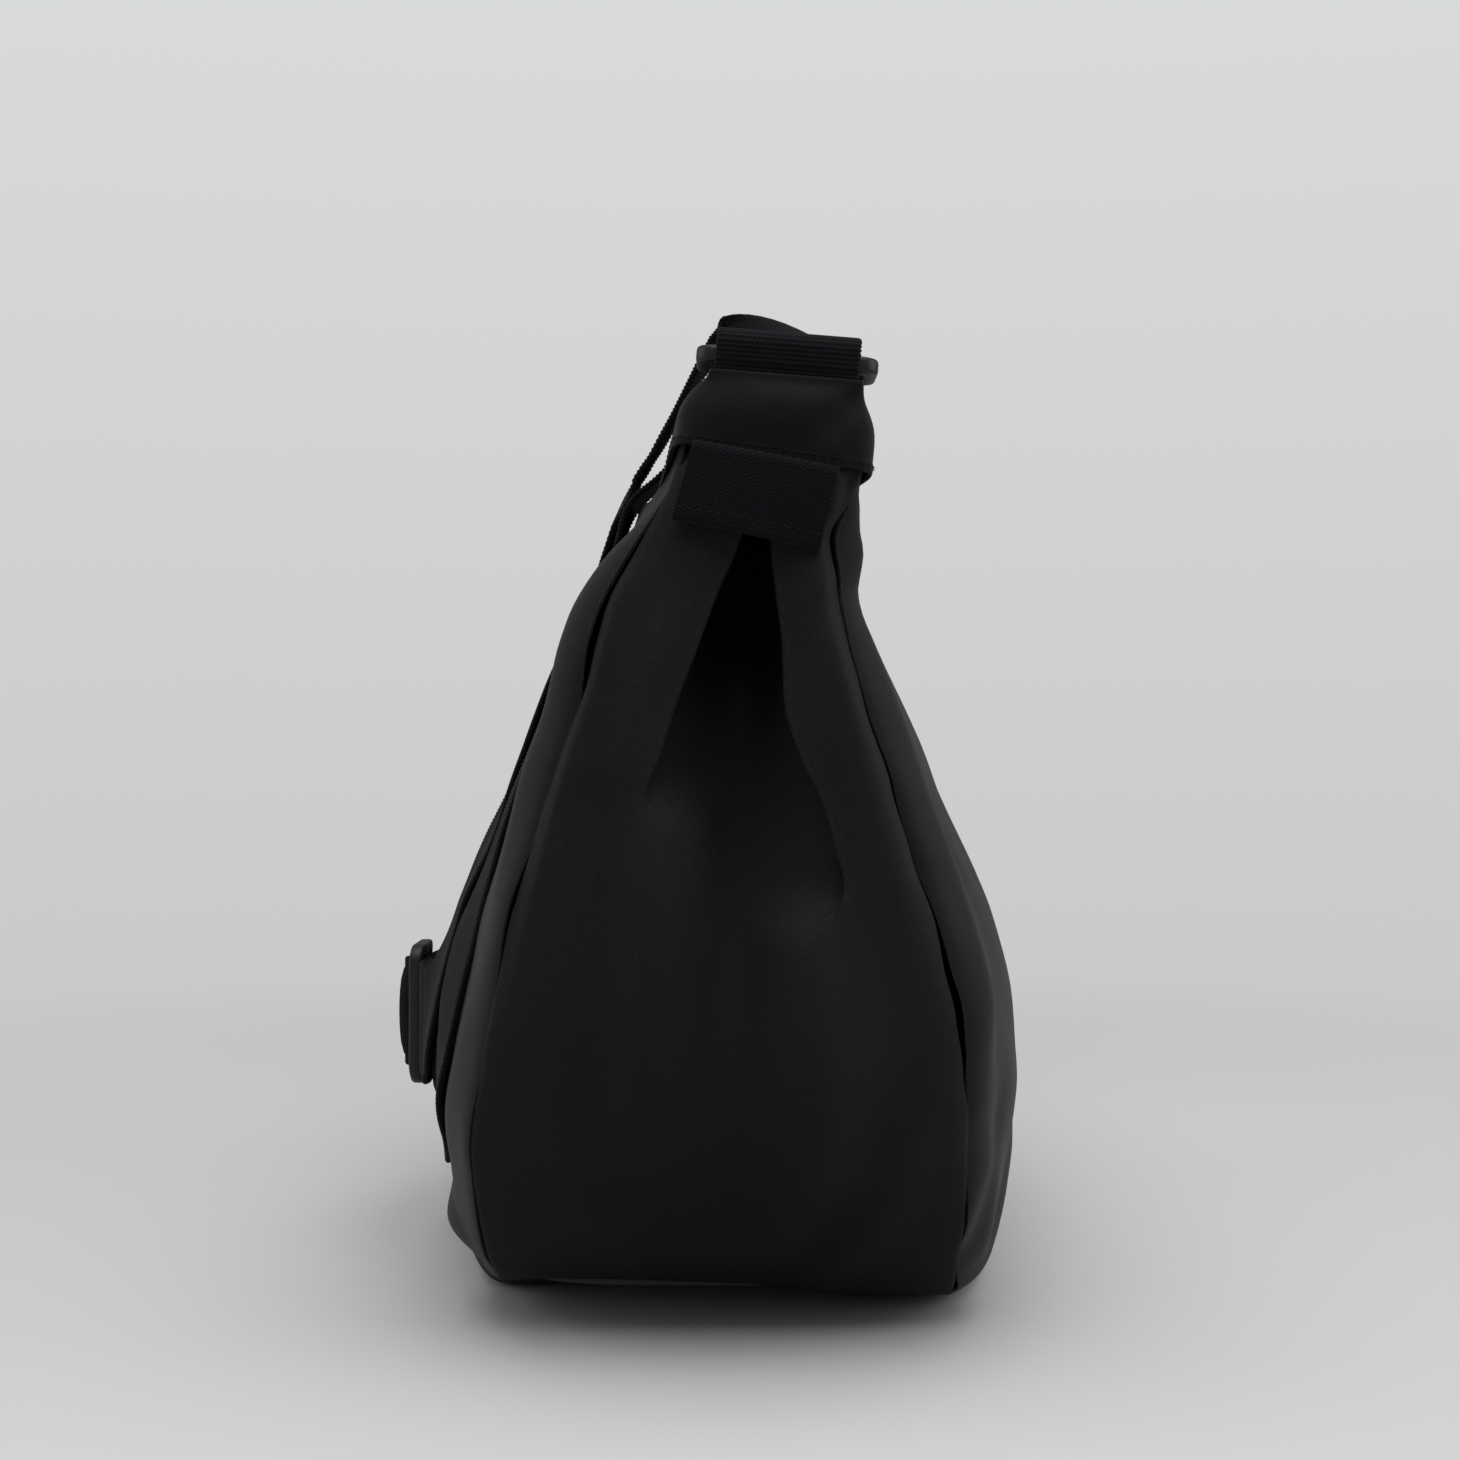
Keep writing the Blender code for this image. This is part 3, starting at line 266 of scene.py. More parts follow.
def clothFinish(name, dark, light, worn, roughness, sheen, thread=cloth["thread"],
                lint=False):
    material, tree, shader, where = newFinish(name, roughness, sheen, 0.0, 0.1)
    weave = weaveOf(tree, thread, thread)
    fuzz = noiseNode(tree, where, cloth["fuzzScale"], 1.0)
    tone = patchy(tree, noiseNode(tree, where, cloth["patchScale"], 4.0), dark, light)
    tone = speckled(tree, tone, weave, 0.22, fuzz, 0.72, 1.3)
    height = addNode(tree, "ShaderNodeSeparateXYZ", {0: where}).outputs["Z"]
    # Painted shade: near the floor the colour goes towards the deep colour
    low = ramp(tree, height, 0.0, cloth["lowTop"], cloth["paintedLowShade"], 0.0)
    # Painted shade in the pleat's hollows, from the gusset's per-point numbers
    paintedHollowShade, edge = (addNode(tree, "ShaderNodeAttribute", attribute_name=key).outputs["Fac"]
                    for key in ("paintedHollowShade", "wear"))
    tone = mixColours(tree, mathNode(tree, "MAXIMUM", low, paintedHollowShade), tone, cloth["deep"])
    rub = mathNode(tree, "MULTIPLY", edge, ramp(tree, fuzz, 0.3, 0.7))
    tone = mixColours(tree, rub, tone, worn)
    if lint:
        cells = addNode(tree, "ShaderNodeTexVoronoi", {
            "Vector": where, "Scale": cloth["lintScale"]}).outputs
        draw = addNode(tree, "ShaderNodeSeparateColor", {0: cells["Color"]}).outputs[0]
        chosen = mathNode(tree, "GREATER_THAN", draw, cloth["lintFrom"])
        near = mathNode(tree, "LESS_THAN", cells["Distance"], cloth["lintSize"])
        tone = mixColours(tree, mathNode(tree, "MULTIPLY", chosen, near), tone,
                          cloth["lint"])
    relief = mathNode(tree, "ADD", mathNode(tree, "MULTIPLY", weave, 0.6),
                      mathNode(tree, "MULTIPLY", fuzz, 0.8))
    closeFinish(tree, shader, tone, relief, 0.5, cloth["weaveDepth"])
    return material


def webbingFinish():
    material, tree, shader, where = newFinish("ribbedWebbing", 0.82, 0.06, 0.0, 0.1)
    yarns = weaveOf(tree, 0.0011, 0.0024)
    fuzz = noiseNode(tree, where, 900.0)
    tone = patchy(tree, noiseNode(tree, where, 22.0, 3.0),
                  (0.0028, 0.0034, 0.0046), (0.0046, 0.0054, 0.0070))
    tone = speckled(tree, tone, yarns, 0.25, fuzz, 0.65, 1.45)
    closeFinish(tree, shader, tone, mathNode(tree, "ADD", yarns, fuzz), 0.6, 0.00012)
    return material


def hardFinish(name, dark, light, roughness, metallic, grain, depth):
    # Moulded or cast pieces: fine grain and soft patches
    material, tree, shader, where = newFinish(name, roughness, 0.0, metallic, 0.3)
    patches = noiseNode(tree, where, 60.0, 3.0)
    rough = ramp(tree, patches, 0.3, 0.7, roughness - 0.08, roughness + 0.1)
    tree.links.new(rough, shader.inputs["Roughness"])
    closeFinish(tree, shader, patchy(tree, patches, dark, light),
                noiseNode(tree, where, grain, 3.0), 0.4, depth)
    return material


finishes = {
    "nylon": clothFinish("matteNylon", cloth["dark"], cloth["light"], cloth["worn"],
                         0.62, 0.085, lint=True),
    "gusset": clothFinish("gussetNylon", (0.0100, 0.0096, 0.0110),
                          (0.0146, 0.0139, 0.0160), cloth["worn"], 0.64, 0.02),
    "hood": clothFinish("hoodNylon", (0.0036, 0.0032, 0.0035), (0.0052, 0.0047, 0.0051),
                        (0.009, 0.0084, 0.009), 0.66, 0.085, lint=True),
    "webbing": webbingFinish(),
    "lining": clothFinish("liningCloth", (0.026, 0.026, 0.029), (0.036, 0.036, 0.040),
                          (0.05, 0.05, 0.055), 0.6, 0.15, 0.0007),
    "tape": clothFinish("zipTape", (0.0055, 0.0055, 0.006), (0.008, 0.008, 0.0088),
                        (0.014, 0.014, 0.015), 0.7, 0.12, 0.0006),
    "thread": hardFinish("sewingThread", (0.0030, 0.0030, 0.0034),
                         (0.0050, 0.0050, 0.0056), 0.8, 0.0, 2500.0, 0.00005),
    "plastic": hardFinish("mouldedPlastic", (0.0095, 0.0102, 0.0104),
                          (0.0135, 0.0143, 0.0146), 0.40, 0.0, 700.0, 0.00004),
    "teeth": hardFinish("coilTeeth", (0.012, 0.012, 0.013), (0.018, 0.018, 0.019),
                        0.34, 0.0, 900.0, 0.00003),
    "metal": hardFinish("darkMetal", (0.060, 0.060, 0.064), (0.090, 0.090, 0.095),
                        0.36, 0.9, 600.0, 0.00003),
    "board": hardFinish("baseBoardSheet", (0.05, 0.05, 0.05), (0.07, 0.07, 0.07),
                        0.6, 0.0, 300.0, 0.0001),
}
print("finishes ready")


# Outline of the bag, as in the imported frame

bag = {
    "halfLength": 0.198, "height": 0.240, "hornTop": 0.258, "hornRise": 0.018,
    "halfDepth": 0.093, "endHalfDepth": 0.072, "bandHalfWidth": 0.025,
    "flatHalf": 0.164, "slotEnd": 0.1404, "leftLean": 0.0125, "rightLean": 0.003,
    "endBulge": 0.010, "fullness": 0.8, "leanStart": 0.86, "footLift": 0.0005,
    "heightSteps": 600, "heightSpread": 1.6, "edgeShiftPower": 8,
}
# By share of the height: how far the outline reaches, as a share of the half length
endOutline = [
    (0.0, 0.36), (0.010, 0.45), (0.028, 0.53), (0.060, 0.615), (0.115, 0.70),
    (0.21, 0.79), (0.33, 0.87), (0.48, 0.93), (0.62, 0.965), (0.74, 0.983),
    (0.84, 0.993), (0.93, 0.998), (1.0, 1.0), (1.075, 1.0),
]
# How deep the panels' middle and the ends are, between the band's half width and the most
panelDepths = [
    (0.0, 0.84), (0.045, 0.92), (0.10, 0.935), (0.155, 0.95), (0.23, 0.98),
    (0.31, 1.0), (0.40, 0.985), (0.50, 0.90), (0.63, 0.70), (0.77, 0.47),
    (0.88, 0.26), (0.95, 0.10), (1.0, 0.0), (1.075, 0.0),
]
endDepths = [
    (0.0, 0.94), (0.10, 0.96), (0.20, 0.985), (0.29, 1.0), (0.35, 0.94),
    (0.43, 0.85), (0.54, 0.71), (0.68, 0.49), (0.83, 0.24), (0.96, 0.08),
    (1.075, 0.0),
]
# How far each height lies towards the back, as a share of the half depth
swayTable = [
    (0.0, 0.0), (0.40, 0.005), (0.75, 0.025), (0.86, 0.025), (0.98, 0.0), (1.075, 0.0),
]
# How far the lining gives way to the pleat
pleatTable = [
    (0.0, 0.0), (0.46, 0.0), (0.56, 0.16), (0.66, 0.42), (0.78, 0.74), (0.88, 1.0),
    (0.93, 0.95), (1.0, 0.35), (1.075, 0.0),
]
# Where the strap presses on the back panel: from, to and how softly
pressed = {"depth": 0.0020, "x": (0.062, 0.180, 0.020), "z": (0.118, 0.236, 0.024)}
# How far the dressed panels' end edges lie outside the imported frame's, by face
edgeShifts = {
    0: [(0.0, 0.0), (1.075, 0.0)],
    -1: [(0.0, -0.001), (0.09, -0.0022), (0.19, -0.0027), (0.28, -0.0042), (0.365, -0.0018),
         (0.43, 0.0), (0.90, 0.0), (0.95, -0.0040), (0.99, -0.001), (1.075, 0.0)],
    1: [(0.0, 0.0), (0.12, 0.0015), (0.24, 0.0014), (0.31, -0.0008), (0.40, 0.0),
        (1.075, 0.0)],
}
# How much of the ends' bulge each height has
bulgeTable = [
    (0.0, 0.0), (0.06, 0.35), (0.2, 0.9), (0.35, 1.0), (0.55, 0.75), (0.75, 0.25),
    (0.9, 0.0), (1.075, 0.0),
]


def readTable(table, at):
    # A smooth curve through the table's points, flat at its turning points
    if at <= table[0][0]:
        return table[0][1]
    for i in range(len(table) - 1):
        (x0, y0), (x1, y1) = table[i], table[i + 1]
        if at <= x1:
            step = x1 - x0
            rise = (y1 - y0) / step
            before = after = rise
            if i > 0:
                before = (y0 - table[i - 1][1]) / (x0 - table[i - 1][0])
            if i + 2 < len(table):
                after = (table[i + 2][1] - y1) / (table[i + 2][0] - x1)
            m0 = 0.0 if before * rise <= 0 else 2 * before * rise / (before + rise)
            m1 = 0.0 if after * rise <= 0 else 2 * after * rise / (after + rise)
            t = (at - x0) / step
            return (y0 * (1 + 2 * t) * (1 - t) ** 2 + m0 * step * t * (1 - t) ** 2
                    + y1 * t * t * (3 - 2 * t) - m1 * step * t * t * (1 - t))
    return table[-1][1]


def endX(z):
    return bag["halfLength"] * readTable(endOutline, z / bag["height"])


def depthBy(table, most, z):
    share = readTable(table, z / bag["height"])
    return bag["bandHalfWidth"] + (most - bag["bandHalfWidth"]) * share


def lean(x, z):
    most = bag["leftLean"] if x < 0 else bag["rightLean"]
    start = bag["height"] * bag["leanStart"]
    up = smooth((z - start) / (bag["hornTop"] - start))
    out = smooth((abs(x) - bag["slotEnd"]) / (bag["halfLength"] - bag["slotEnd"]))
    return bag["halfDepth"] * readTable(swayTable, z / bag["height"]) - most * up * out


def edgeDepth(face, z):
    # Face 0 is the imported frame's own depth, -1 and 1 the dressed front and back
    edge = depthBy(endDepths, bag["endHalfDepth"], z)
    return edge + readTable(edgeShifts[face], z / bag["height"])


def halfDepth(x, z, face=0):
    across = min(1.0, abs(x) / endX(z))
    full = (1 - across * across) ** bag["fullness"]
    edge = edgeDepth(0, z)
    shift = (edgeDepth(face, z) - edge) * across ** bag["edgeShiftPower"]
    return edge + (depthBy(panelDepths, bag["halfDepth"], z) - edge) * full + shift


def hollow(x, z):
    # The back panel gives way where the strap hangs against it
    return pressed["depth"] * between(abs(x), *pressed["x"]) * between(z, *pressed["z"])


def topZ(x):
    rise = smooth((abs(x) - bag["flatHalf"]) / (bag["halfLength"] - bag["flatHalf"]))
    return bag["height"] + bag["hornRise"] * rise


def spots(lengths, first, last, count):
    # Even distances along a line, each with the point before it and the share beyond
    at = 0
    for i in range(count + 1):
        target = first + (last - first) * i / count
        while at < len(lengths) - 2 and lengths[at + 1] < target:
            at += 1
        span = lengths[at + 1] - lengths[at]
        yield target, at, min(1.0, (target - lengths[at]) / span) if span > 0 else 0.0


def evenHeights(count, top):
    # Heights whose rows lie evenly along the end's outline
    low = 2 * bag["footLift"]
    heights = [low + (top - low) * t ** bag["heightSpread"]
               for t in evenly(0.0, 1.0, bag["heightSteps"])]
    lengths = [0.0]
    for a, b in zip(heights, heights[1:]):
        lengths.append(lengths[-1] + math.hypot(endX(b) - endX(a), b - a))
    return [heights[at] + (heights[at + 1] - heights[at]) * t
            for _, at, t in spots(lengths, 0.0, lengths[-1], count)]


# Meshes

def layMesh(name, rows, round=False):
    # Rows of points as quads, with a weave map that measures them in metres
    count = len(rows[0])
    verts = [p for row in rows for p in row]
    columns = count if round else count - 1
    middle = count // 2
    up = [0.0]
    for low, high in zip(rows, rows[1:]):
        up.append(up[-1] + (high[middle] - low[middle]).length)
    across = []
    for row in rows:
        line = [0.0]
        for c in range(columns):
            line.append(line[-1] + (row[(c + 1) % count] - row[c]).length)
        across.append([value - line[middle] for value in line])
    faces, places = [], []
    for r in range(len(rows) - 1):
        for c in range(columns):
            d = (c + 1) % count
            faces.append((r * count + c, r * count + d,
                          (r + 1) * count + d, (r + 1) * count + c))
            places += [(across[r][c], up[r]), (across[r][c + 1], up[r]),
                       (across[r + 1][c + 1], up[r + 1]), (across[r + 1][c], up[r + 1])]
    mesh = bpy.data.meshes.new(name)
    mesh.from_pydata(verts, [], faces)
    layer = mesh.uv_layers.new(name="weave")
    layer.data.foreach_set("uv", [value for place in places for value in place])
    mesh.polygons.foreach_set("use_smooth", [True] * len(faces))
    return mesh


def newPiece(name, mesh, finish):
    if finish:
        mesh.materials.append(finishes[finish])
    return addObject(name, mesh)


def bake(piece):
    # The piece's modifiers become its plain mesh
    bpy.context.view_layer.update()
    final = piece.evaluated_get(bpy.context.evaluated_depsgraph_get())
    mesh = bpy.data.meshes.new_from_object(final)
    mesh.name = piece.name
    piece.modifiers.clear()
    old = piece.data
    piece.data = mesh
    bpy.data.meshes.remove(old)
    return piece


def thicken(piece, thickness, offset=-1.0):
    wall = piece.modifiers.new("wall", "SOLIDIFY")
    wall.thickness, wall.offset = thickness, offset
    wall.use_quality_normals = True
    return bake(piece)


def setNumbers(mesh, name, values):
    layer = mesh.attributes.new(name, "FLOAT", "POINT")
    layer.data.foreach_set("value", values)


def clothPiece(name, mesh, finish, thickness, wear=0.0):
    # A sheet of cloth, with its wear as one number or as one for each point
    if isinstance(wear, float):
        wear = [wear] * len(mesh.vertices)
    setNumbers(mesh, "wear", wear)
    return thicken(newPiece(name, mesh, finish), thickness)


def edited(mesh, change, outwards=True):
    bm = bmesh.new()
    bm.from_mesh(mesh)
    bm.verts.ensure_lookup_table()
    change(bm)
    if outwards:
        bmesh.ops.recalc_face_normals(bm, faces=bm.faces[:])
    bm.to_mesh(mesh)
    bm.free()
    return mesh


def place(piece, body, slot, *nodes):
    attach(piece, body)
    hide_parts(*nodes)
    return piece


# How the ends settle: their lowest cloth lifts off the floor

settleTable = [(-0.075, 0.0), (-0.045, 0.0002), (-0.028, 0.0012), (-0.008, 0.0036),
               (0.02, 0.0046), (0.05, 0.0052), (0.08, 0.0040)]
settling = {"fromX": 0.066, "soft": 0.012, "height": 0.045, "rightShare": 0.7}


def settle(p):
    most = readTable(settleTable, p.y if p.x < 0 else -p.y)
    most *= 1.0 if p.x < 0 else settling["rightShare"]
    out = smooth((abs(p.x) - settling["fromX"]) / settling["soft"])
    return Vector((p.x, p.y, p.z + most * out * (1 - smooth(p.z / settling["height"]))))


# Front and back panels, which meet the ends in drawn-in seams

panel = {
    "columns": 150, "rows": 110, "cloth": 0.0010,
    "seamWidth": 0.0042, "rippleHeight": 0.0009, "rippleScale": 17.0,
    "capPinch": 0.0010, "endRipple": 0.0013, "pucker": 0.35, "puckerScale": 75,
    "pullX": 0.62, "pullY": 0.78, "capFrom": 0.150, "capSoft": 0.012, "capHigh": (0.006, 0.010),
    "calmTop": (0.002, 0.02), "calmFoot": 0.012, "fineShare": 0.4, "fineScale": 3.1,
    "endFrom": 0.60, "endSoft": 0.25, "endScale": (34, 26), "foldOver": 0.3,
    "wear": 0.30, "wearReach": 3.0,
}
# Depth of the seam beside each end by share of the height, at the front and the back
seamDepths = {
    -1: [(0.0, 0.0006), (0.10, 0.0015), (0.30, 0.0024), (0.42, 0.0046), (0.60, 0.0052),
         (0.78, 0.0042), (0.88, 0.0032), (0.96, 0.0050), (1.02, 0.0020), (1.075, 0.0)],
    1: [(0.0, 0.0006), (0.10, 0.0012), (0.35, 0.0016), (0.54, 0.0020), (0.66, 0.0040),
        (0.74, 0.0046), (0.90, 0.0038), (1.0, 0.0022), (1.075, 0.0)],
}
# Soft folds on each panel: from x z, to x z, width, height
panelFolds = {
    -1: [(-0.186, 0.214, -0.166, 0.094, 0.0075, 0.0030),
         (-0.170, 0.205, -0.148, 0.120, 0.0100, -0.0016),
         (-0.193, 0.252, -0.188, 0.222, 0.0060, 0.0040),
         (-0.112, 0.012, -0.088, 0.052, 0.0060, 0.0022),
         (-0.090, 0.008, -0.060, 0.040, 0.0050, -0.0016),
         (-0.120, 0.230, -0.060, 0.165, 0.0110, 0.0018),
         (0.120, 0.231, 0.052, 0.150, 0.0120, 0.0020),
         (0.182, 0.205, 0.140, 0.090, 0.0100, 0.0024),
         (0.090, 0.014, 0.062, 0.060, 0.0070, 0.0018),
         (-0.045, 0.205, 0.030, 0.182, 0.0130, -0.0014),
         (0.020, 0.030, -0.040, 0.016, 0.0090, 0.0014),
         (-0.125, 0.135, -0.115, 0.060, 0.0300, 0.0014),
         (-0.150, 0.060, -0.118, 0.020, 0.0075, 0.0026),
         (-0.134, 0.026, -0.150, 0.070, 0.0060, -0.0020)],
    1: [(-0.172, 0.238, -0.186, 0.192, 0.0140, 0.0030),
        (-0.118, 0.032, -0.085, 0.022, 0.0110, 0.0042),
        (-0.120, 0.016, -0.070, 0.012, 0.0070, -0.0022),
        (-0.190, 0.235, -0.176, 0.150, 0.0080, 0.0024),
        (-0.165, 0.100, -0.120, 0.030, 0.0090, 0.0018),
        (-0.100, 0.225, -0.020, 0.160, 0.0120, 0.0018),
        (0.110, 0.228, 0.040, 0.150, 0.0120, 0.0018),
        (0.180, 0.200, 0.150, 0.100, 0.0090, 0.0022),
        (0.060, 0.020, 0.100, 0.070, 0.0080, 0.0016)],
}


def foldSum(folds, u, v, over):
    # Height of the soft folds at a place; each fades out past both of its ends
    total = 0.0
    for u0, v0, u1, v1, width, height in folds:
        du, dv = u1 - u0, v1 - v0
        t = ((u - u0) * du + (v - v0) * dv) / (du * du + dv * dv)
        if -over < t < 1 + over:
            off = ((u - u0) * dv - (v - v0) * du) / math.hypot(du, dv)
            total += height * between(t, -over, 1 + over, 0.5) * bell(off, 0.0, width)
    return total


def drawSeam(p, side, face):
    # Pulls cloth near an end seam into the bag, with puckers along it
    z = p.z
    seam = Vector((side * endX(z), face * edgeDepth(face, z) + lean(side * endX(z), z), z))
    away = math.hypot(p.x - seam.x, p.y - seam.y)
    depth = readTable(seamDepths[face], z / bag["height"])
    spot = Vector((side * 3.1, face * 1.7, z * panel["puckerScale"]))
    pull = depth * (1 + panel["pucker"] * noise.noise(spot))
    pull *= math.exp(-away / panel["seamWidth"])
    return Vector((p.x - side * panel["pullX"] * pull, p.y - face * panel["pullY"] * pull, z))


def panelPoint(face, u, z):
    x = u * endX(z)
    depth = halfDepth(x, z, face) - (hollow(x, z) if face > 0 else 0.0)
    top, scale = bag["height"], panel["rippleScale"]
    below, soft = panel["capHigh"]
    under = smooth((abs(x) - panel["capFrom"]) / panel["capSoft"])
    under *= smooth((z - top + below) / soft)
    above, soft = panel["calmTop"]
    calm = smooth((top + above - z) / soft) * smooth(z / panel["calmFoot"])
    fine = noise.noise(Vector((x, face * 5.0, z)) * panel["fineScale"] * scale)
    ripple = panel["rippleHeight"] * (
        noise.noise(Vector((x, face * 2.0, z)) * scale) + panel["fineShare"] * fine)
    alongScale, upScale = panel["endScale"]
    spot = Vector((x * alongScale, face * 7.0, z * upScale))
    nearEnd = smooth((abs(u) - panel["endFrom"]) / panel["endSoft"])
    ripple += nearEnd * panel["endRipple"] * noise.noise(spot)
    relief = foldSum(panelFolds[face], x, z, panel["foldOver"]) + ripple
    depth += calm * relief - panel["capPinch"] * under
    p = Vector((x, face * depth + lean(x, z), z))
    return settle(drawSeam(p, -1 if x < 0 else 1, face))


def makePanel(name, face, node):
    low, last = 2 * bag["footLift"], panel["columns"]
    rows = []
    for height in evenHeights(panel["rows"], bag["height"]):
        share = (height - low) / (bag["height"] - low)
        us = [math.sin(angle) for angle in evenly(-math.pi / 2, math.pi / 2, last)]
        row = [panelPoint(face, u, low + (topZ(u * bag["halfLength"]) - low) * share)
               for u in us]
        rows.append(row[::-face])
    wear = [panel["wear"] * math.exp(-min(i, last - i) / panel["wearReach"])
            for _ in rows for i in range(last + 1)]
    piece = clothPiece(name, layMesh(name, rows), "nylon", panel["cloth"], wear)
    place(piece, "bag", "nylon", node)


makePanel("frontPanelCloth", -1, "front_panel")
makePanel("backPanelCloth", 1, "back_panel")
print("panels ready")


# End gussets with the inverted pleat

gusset = {
    "rows": 130, "flap": 26, "lip": 6, "under": 4, "turn": 4, "floor": 14,
    "cloth": 0.0010, "lipRadius": 0.0012, "turnRadius": 0.0008, "top": 0.255,
    "rollHeight": 0.0026, "fade": 0.020, "creaseWidth": 0.0105, "underSlope": 0.0005,
    "tuck": 0.0024, "tuckFrom": 0.2445, "soft": 0.006, "seamGap": 0.0004,
    "ripple": 0.0016, "foldOver": 0.35, "foot": 0.016,
    "lipWear": 0.35, "seamWear": 0.25, "wearReach": 2.0,
    # share, start, scale across and scale upwards of each ripple
    "ripples": ((1.0, 4.0, 15, 13), (0.45, 9.0, 38, 30)),
    "paintedShadeFrom": 0.003, "paintedShadeSoft": 0.014,     # depths where painted shade darkens the pleat's hollow
}
# Left end: where each fold's edge and the middle crease lie (height, y)
backFold = [
    (0.118, 0.0300), (0.150, 0.0256), (0.1594, 0.0225), (0.1727, 0.0175),
    (0.185, 0.0136), (0.195, 0.0097), (0.2128, 0.0031), (0.225, -0.0022),
    (0.236, -0.0056), (0.255, -0.0100),
]
frontFold = [
    (0.112, -0.0262), (0.1233, -0.0285), (0.1283, -0.0304), (0.136, -0.0301),
    (0.146, -0.0275), (0.1594, -0.0236), (0.1694, -0.0186), (0.1849, -0.0141),
    (0.1984, -0.0136), (0.2128, -0.0119), (0.225, -0.0107), (0.236, -0.0111),
    (0.255, -0.0132),
]
middleCrease = [
    (0.0, 0.0), (0.120, -0.0006), (0.152, -0.0006), (0.185, -0.0032),
    (0.2128, -0.0050), (0.225, -0.0064), (0.236, -0.0084), (0.255, -0.0116),
]
# How deep the middle crease lies (height, depth)
creaseDepths = [
    (0.066, 0.0), (0.095, 0.0020), (0.112, 0.0050), (0.130, 0.0086), (0.146, 0.0112),
    (0.162, 0.0140), (0.180, 0.0180), (0.196, 0.0245), (0.212, 0.0295), (0.230, 0.0300),
    (0.255, 0.0100),
]
# Soft folds on a gusset: from y z, to y z, width, height
gussetFolds = [
    (0.032, 0.222, 0.053, 0.130, 0.0060, 0.0024),
    (0.034, 0.172, 0.036, 0.090, 0.0085, -0.0032),
    (0.016, 0.205, 0.028, 0.165, 0.0060, 0.0016),
    (-0.026, 0.205, -0.047, 0.125, 0.0070, 0.0040),
    (-0.040, 0.150, -0.046, 0.085, 0.0080, -0.0018),
    (0.000, 0.118, 0.000, 0.055, 0.0110, -0.0034),
    (0.020, 0.140, 0.025, 0.070, 0.0100, 0.0038),
    (-0.021, 0.118, -0.026, 0.060, 0.0100, 0.0046),
    (0.045, 0.080, 0.030, 0.030, 0.0130, 0.0020),
    (-0.052, 0.070, -0.030, 0.018, 0.0090, 0.0022),
    (-0.040, 0.052, -0.012, 0.014, 0.0080, -0.0016),
    (-0.030, 0.236, -0.024, 0.214, 0.0030, 0.0022),
    (-0.033, 0.243, -0.028, 0.224, 0.0022, -0.0024),
]
foldEnds = {1: 0.1490, -1: 0.1180}     # height where the back and front folds run out
# How far each fold turns in under itself (height, reach)
underReach = [(0.12, 0.0010), (0.16, 0.0030), (0.20, 0.0055), (0.255, 0.0040)]


def gussetRelief(side, y, z):
    ripple = sum(share * noise.noise(Vector((side * start, y * across, z * up)))
                 for share, start, across, up in gusset["ripples"])
    relief = foldSum(gussetFolds, y, z, gusset["foldOver"]) + gusset["ripple"] * ripple
    return relief * smooth(z / gusset["foot"])


def outerX(z, y, middle, reach):
    bulge = bag["endBulge"] * readTable(bulgeTable, z / bag["height"])
    return endX(z) + bulge * (1 - ((y - middle) / reach) ** 2)


def halfSection(z, face, seamY, foldY, creaseY):
    # (y, depth) from the seam to the crease: flap, fold's lip, underside and floor
    deep = readTable(creaseDepths, z)
    strength = smooth((z - foldEnds[face]) / gusset["fade"])
    radius, turn, slope = gusset["lipRadius"], gusset["turnRadius"], gusset["underSlope"]
    lipY = foldY + face * radius
    inner = lipY + face * readTable(underReach, z)
    depth = 2 * radius + slope + 2 * turn
    points = [(seamY + (lipY - seamY) * t,
               -gusset["rollHeight"] * math.sin(math.pi * t) * strength)
              for t in evenly(0.0, 1.0, gusset["flap"])[:-1]]
    points += [(lipY - face * out, radius + up)
               for out, up in arc(0.0, radius, -90, 90, gusset["lip"] - 1)]
    points += [(lipY + (inner - lipY) * t, 2 * radius + slope * t)
               for t in evenly(0.0, 1.0, gusset["under"])[1:]]
    points += [(inner + face * out, depth - turn + up)
               for out, up in arc(0.0, turn, -90, 90, gusset["turn"] - 1)[1:]]
    points += [(inner + (creaseY - inner) * t,
                depth + (deep - depth) * t * (1.4 - 0.4 * t * t))
               for t in evenly(0.0, 1.0, gusset["floor"])[1:]]
    flat = [(y, deep * bell(y, creaseY, gusset["creaseWidth"]))
            for y in evenly(seamY, creaseY, len(points) - 1)]
    return [(a[0] + (b[0] - a[0]) * strength, a[1] + (b[1] - a[1]) * strength)
            for a, b in zip(flat, points)]


def gussetRow(side, z):
    # Points of a row and how deep each lies, from the back seam to the front seam
    shift = lean(side * bag["halfLength"], z)
    offset = shift - lean(-bag["halfLength"], z)     # the right end leans less
    crease = readTable(middleCrease, z) + offset
    row, depths = [], []
    for face, fold in ((1, backFold), (-1, frontFold)):
        reach = edgeDepth(face, z) - gusset["seamGap"]
        half = halfSection(z, face, face * reach + shift, readTable(fold, z) + offset, crease)
        for y, depth in half if face > 0 else half[-2::-1]:
            edge = smooth((reach - abs(y - shift)) / gusset["soft"])
            x = outerX(z, y, shift, reach) - depth + edge * gussetRelief(side, y, z)
            x -= gusset["tuck"] * smooth((z - gusset["tuckFrom"]) / gusset["soft"])
            row.append(settle(drawSeam(Vector((side * x, y, z)), side, face)))
            depths.append(depth)
    return row, depths


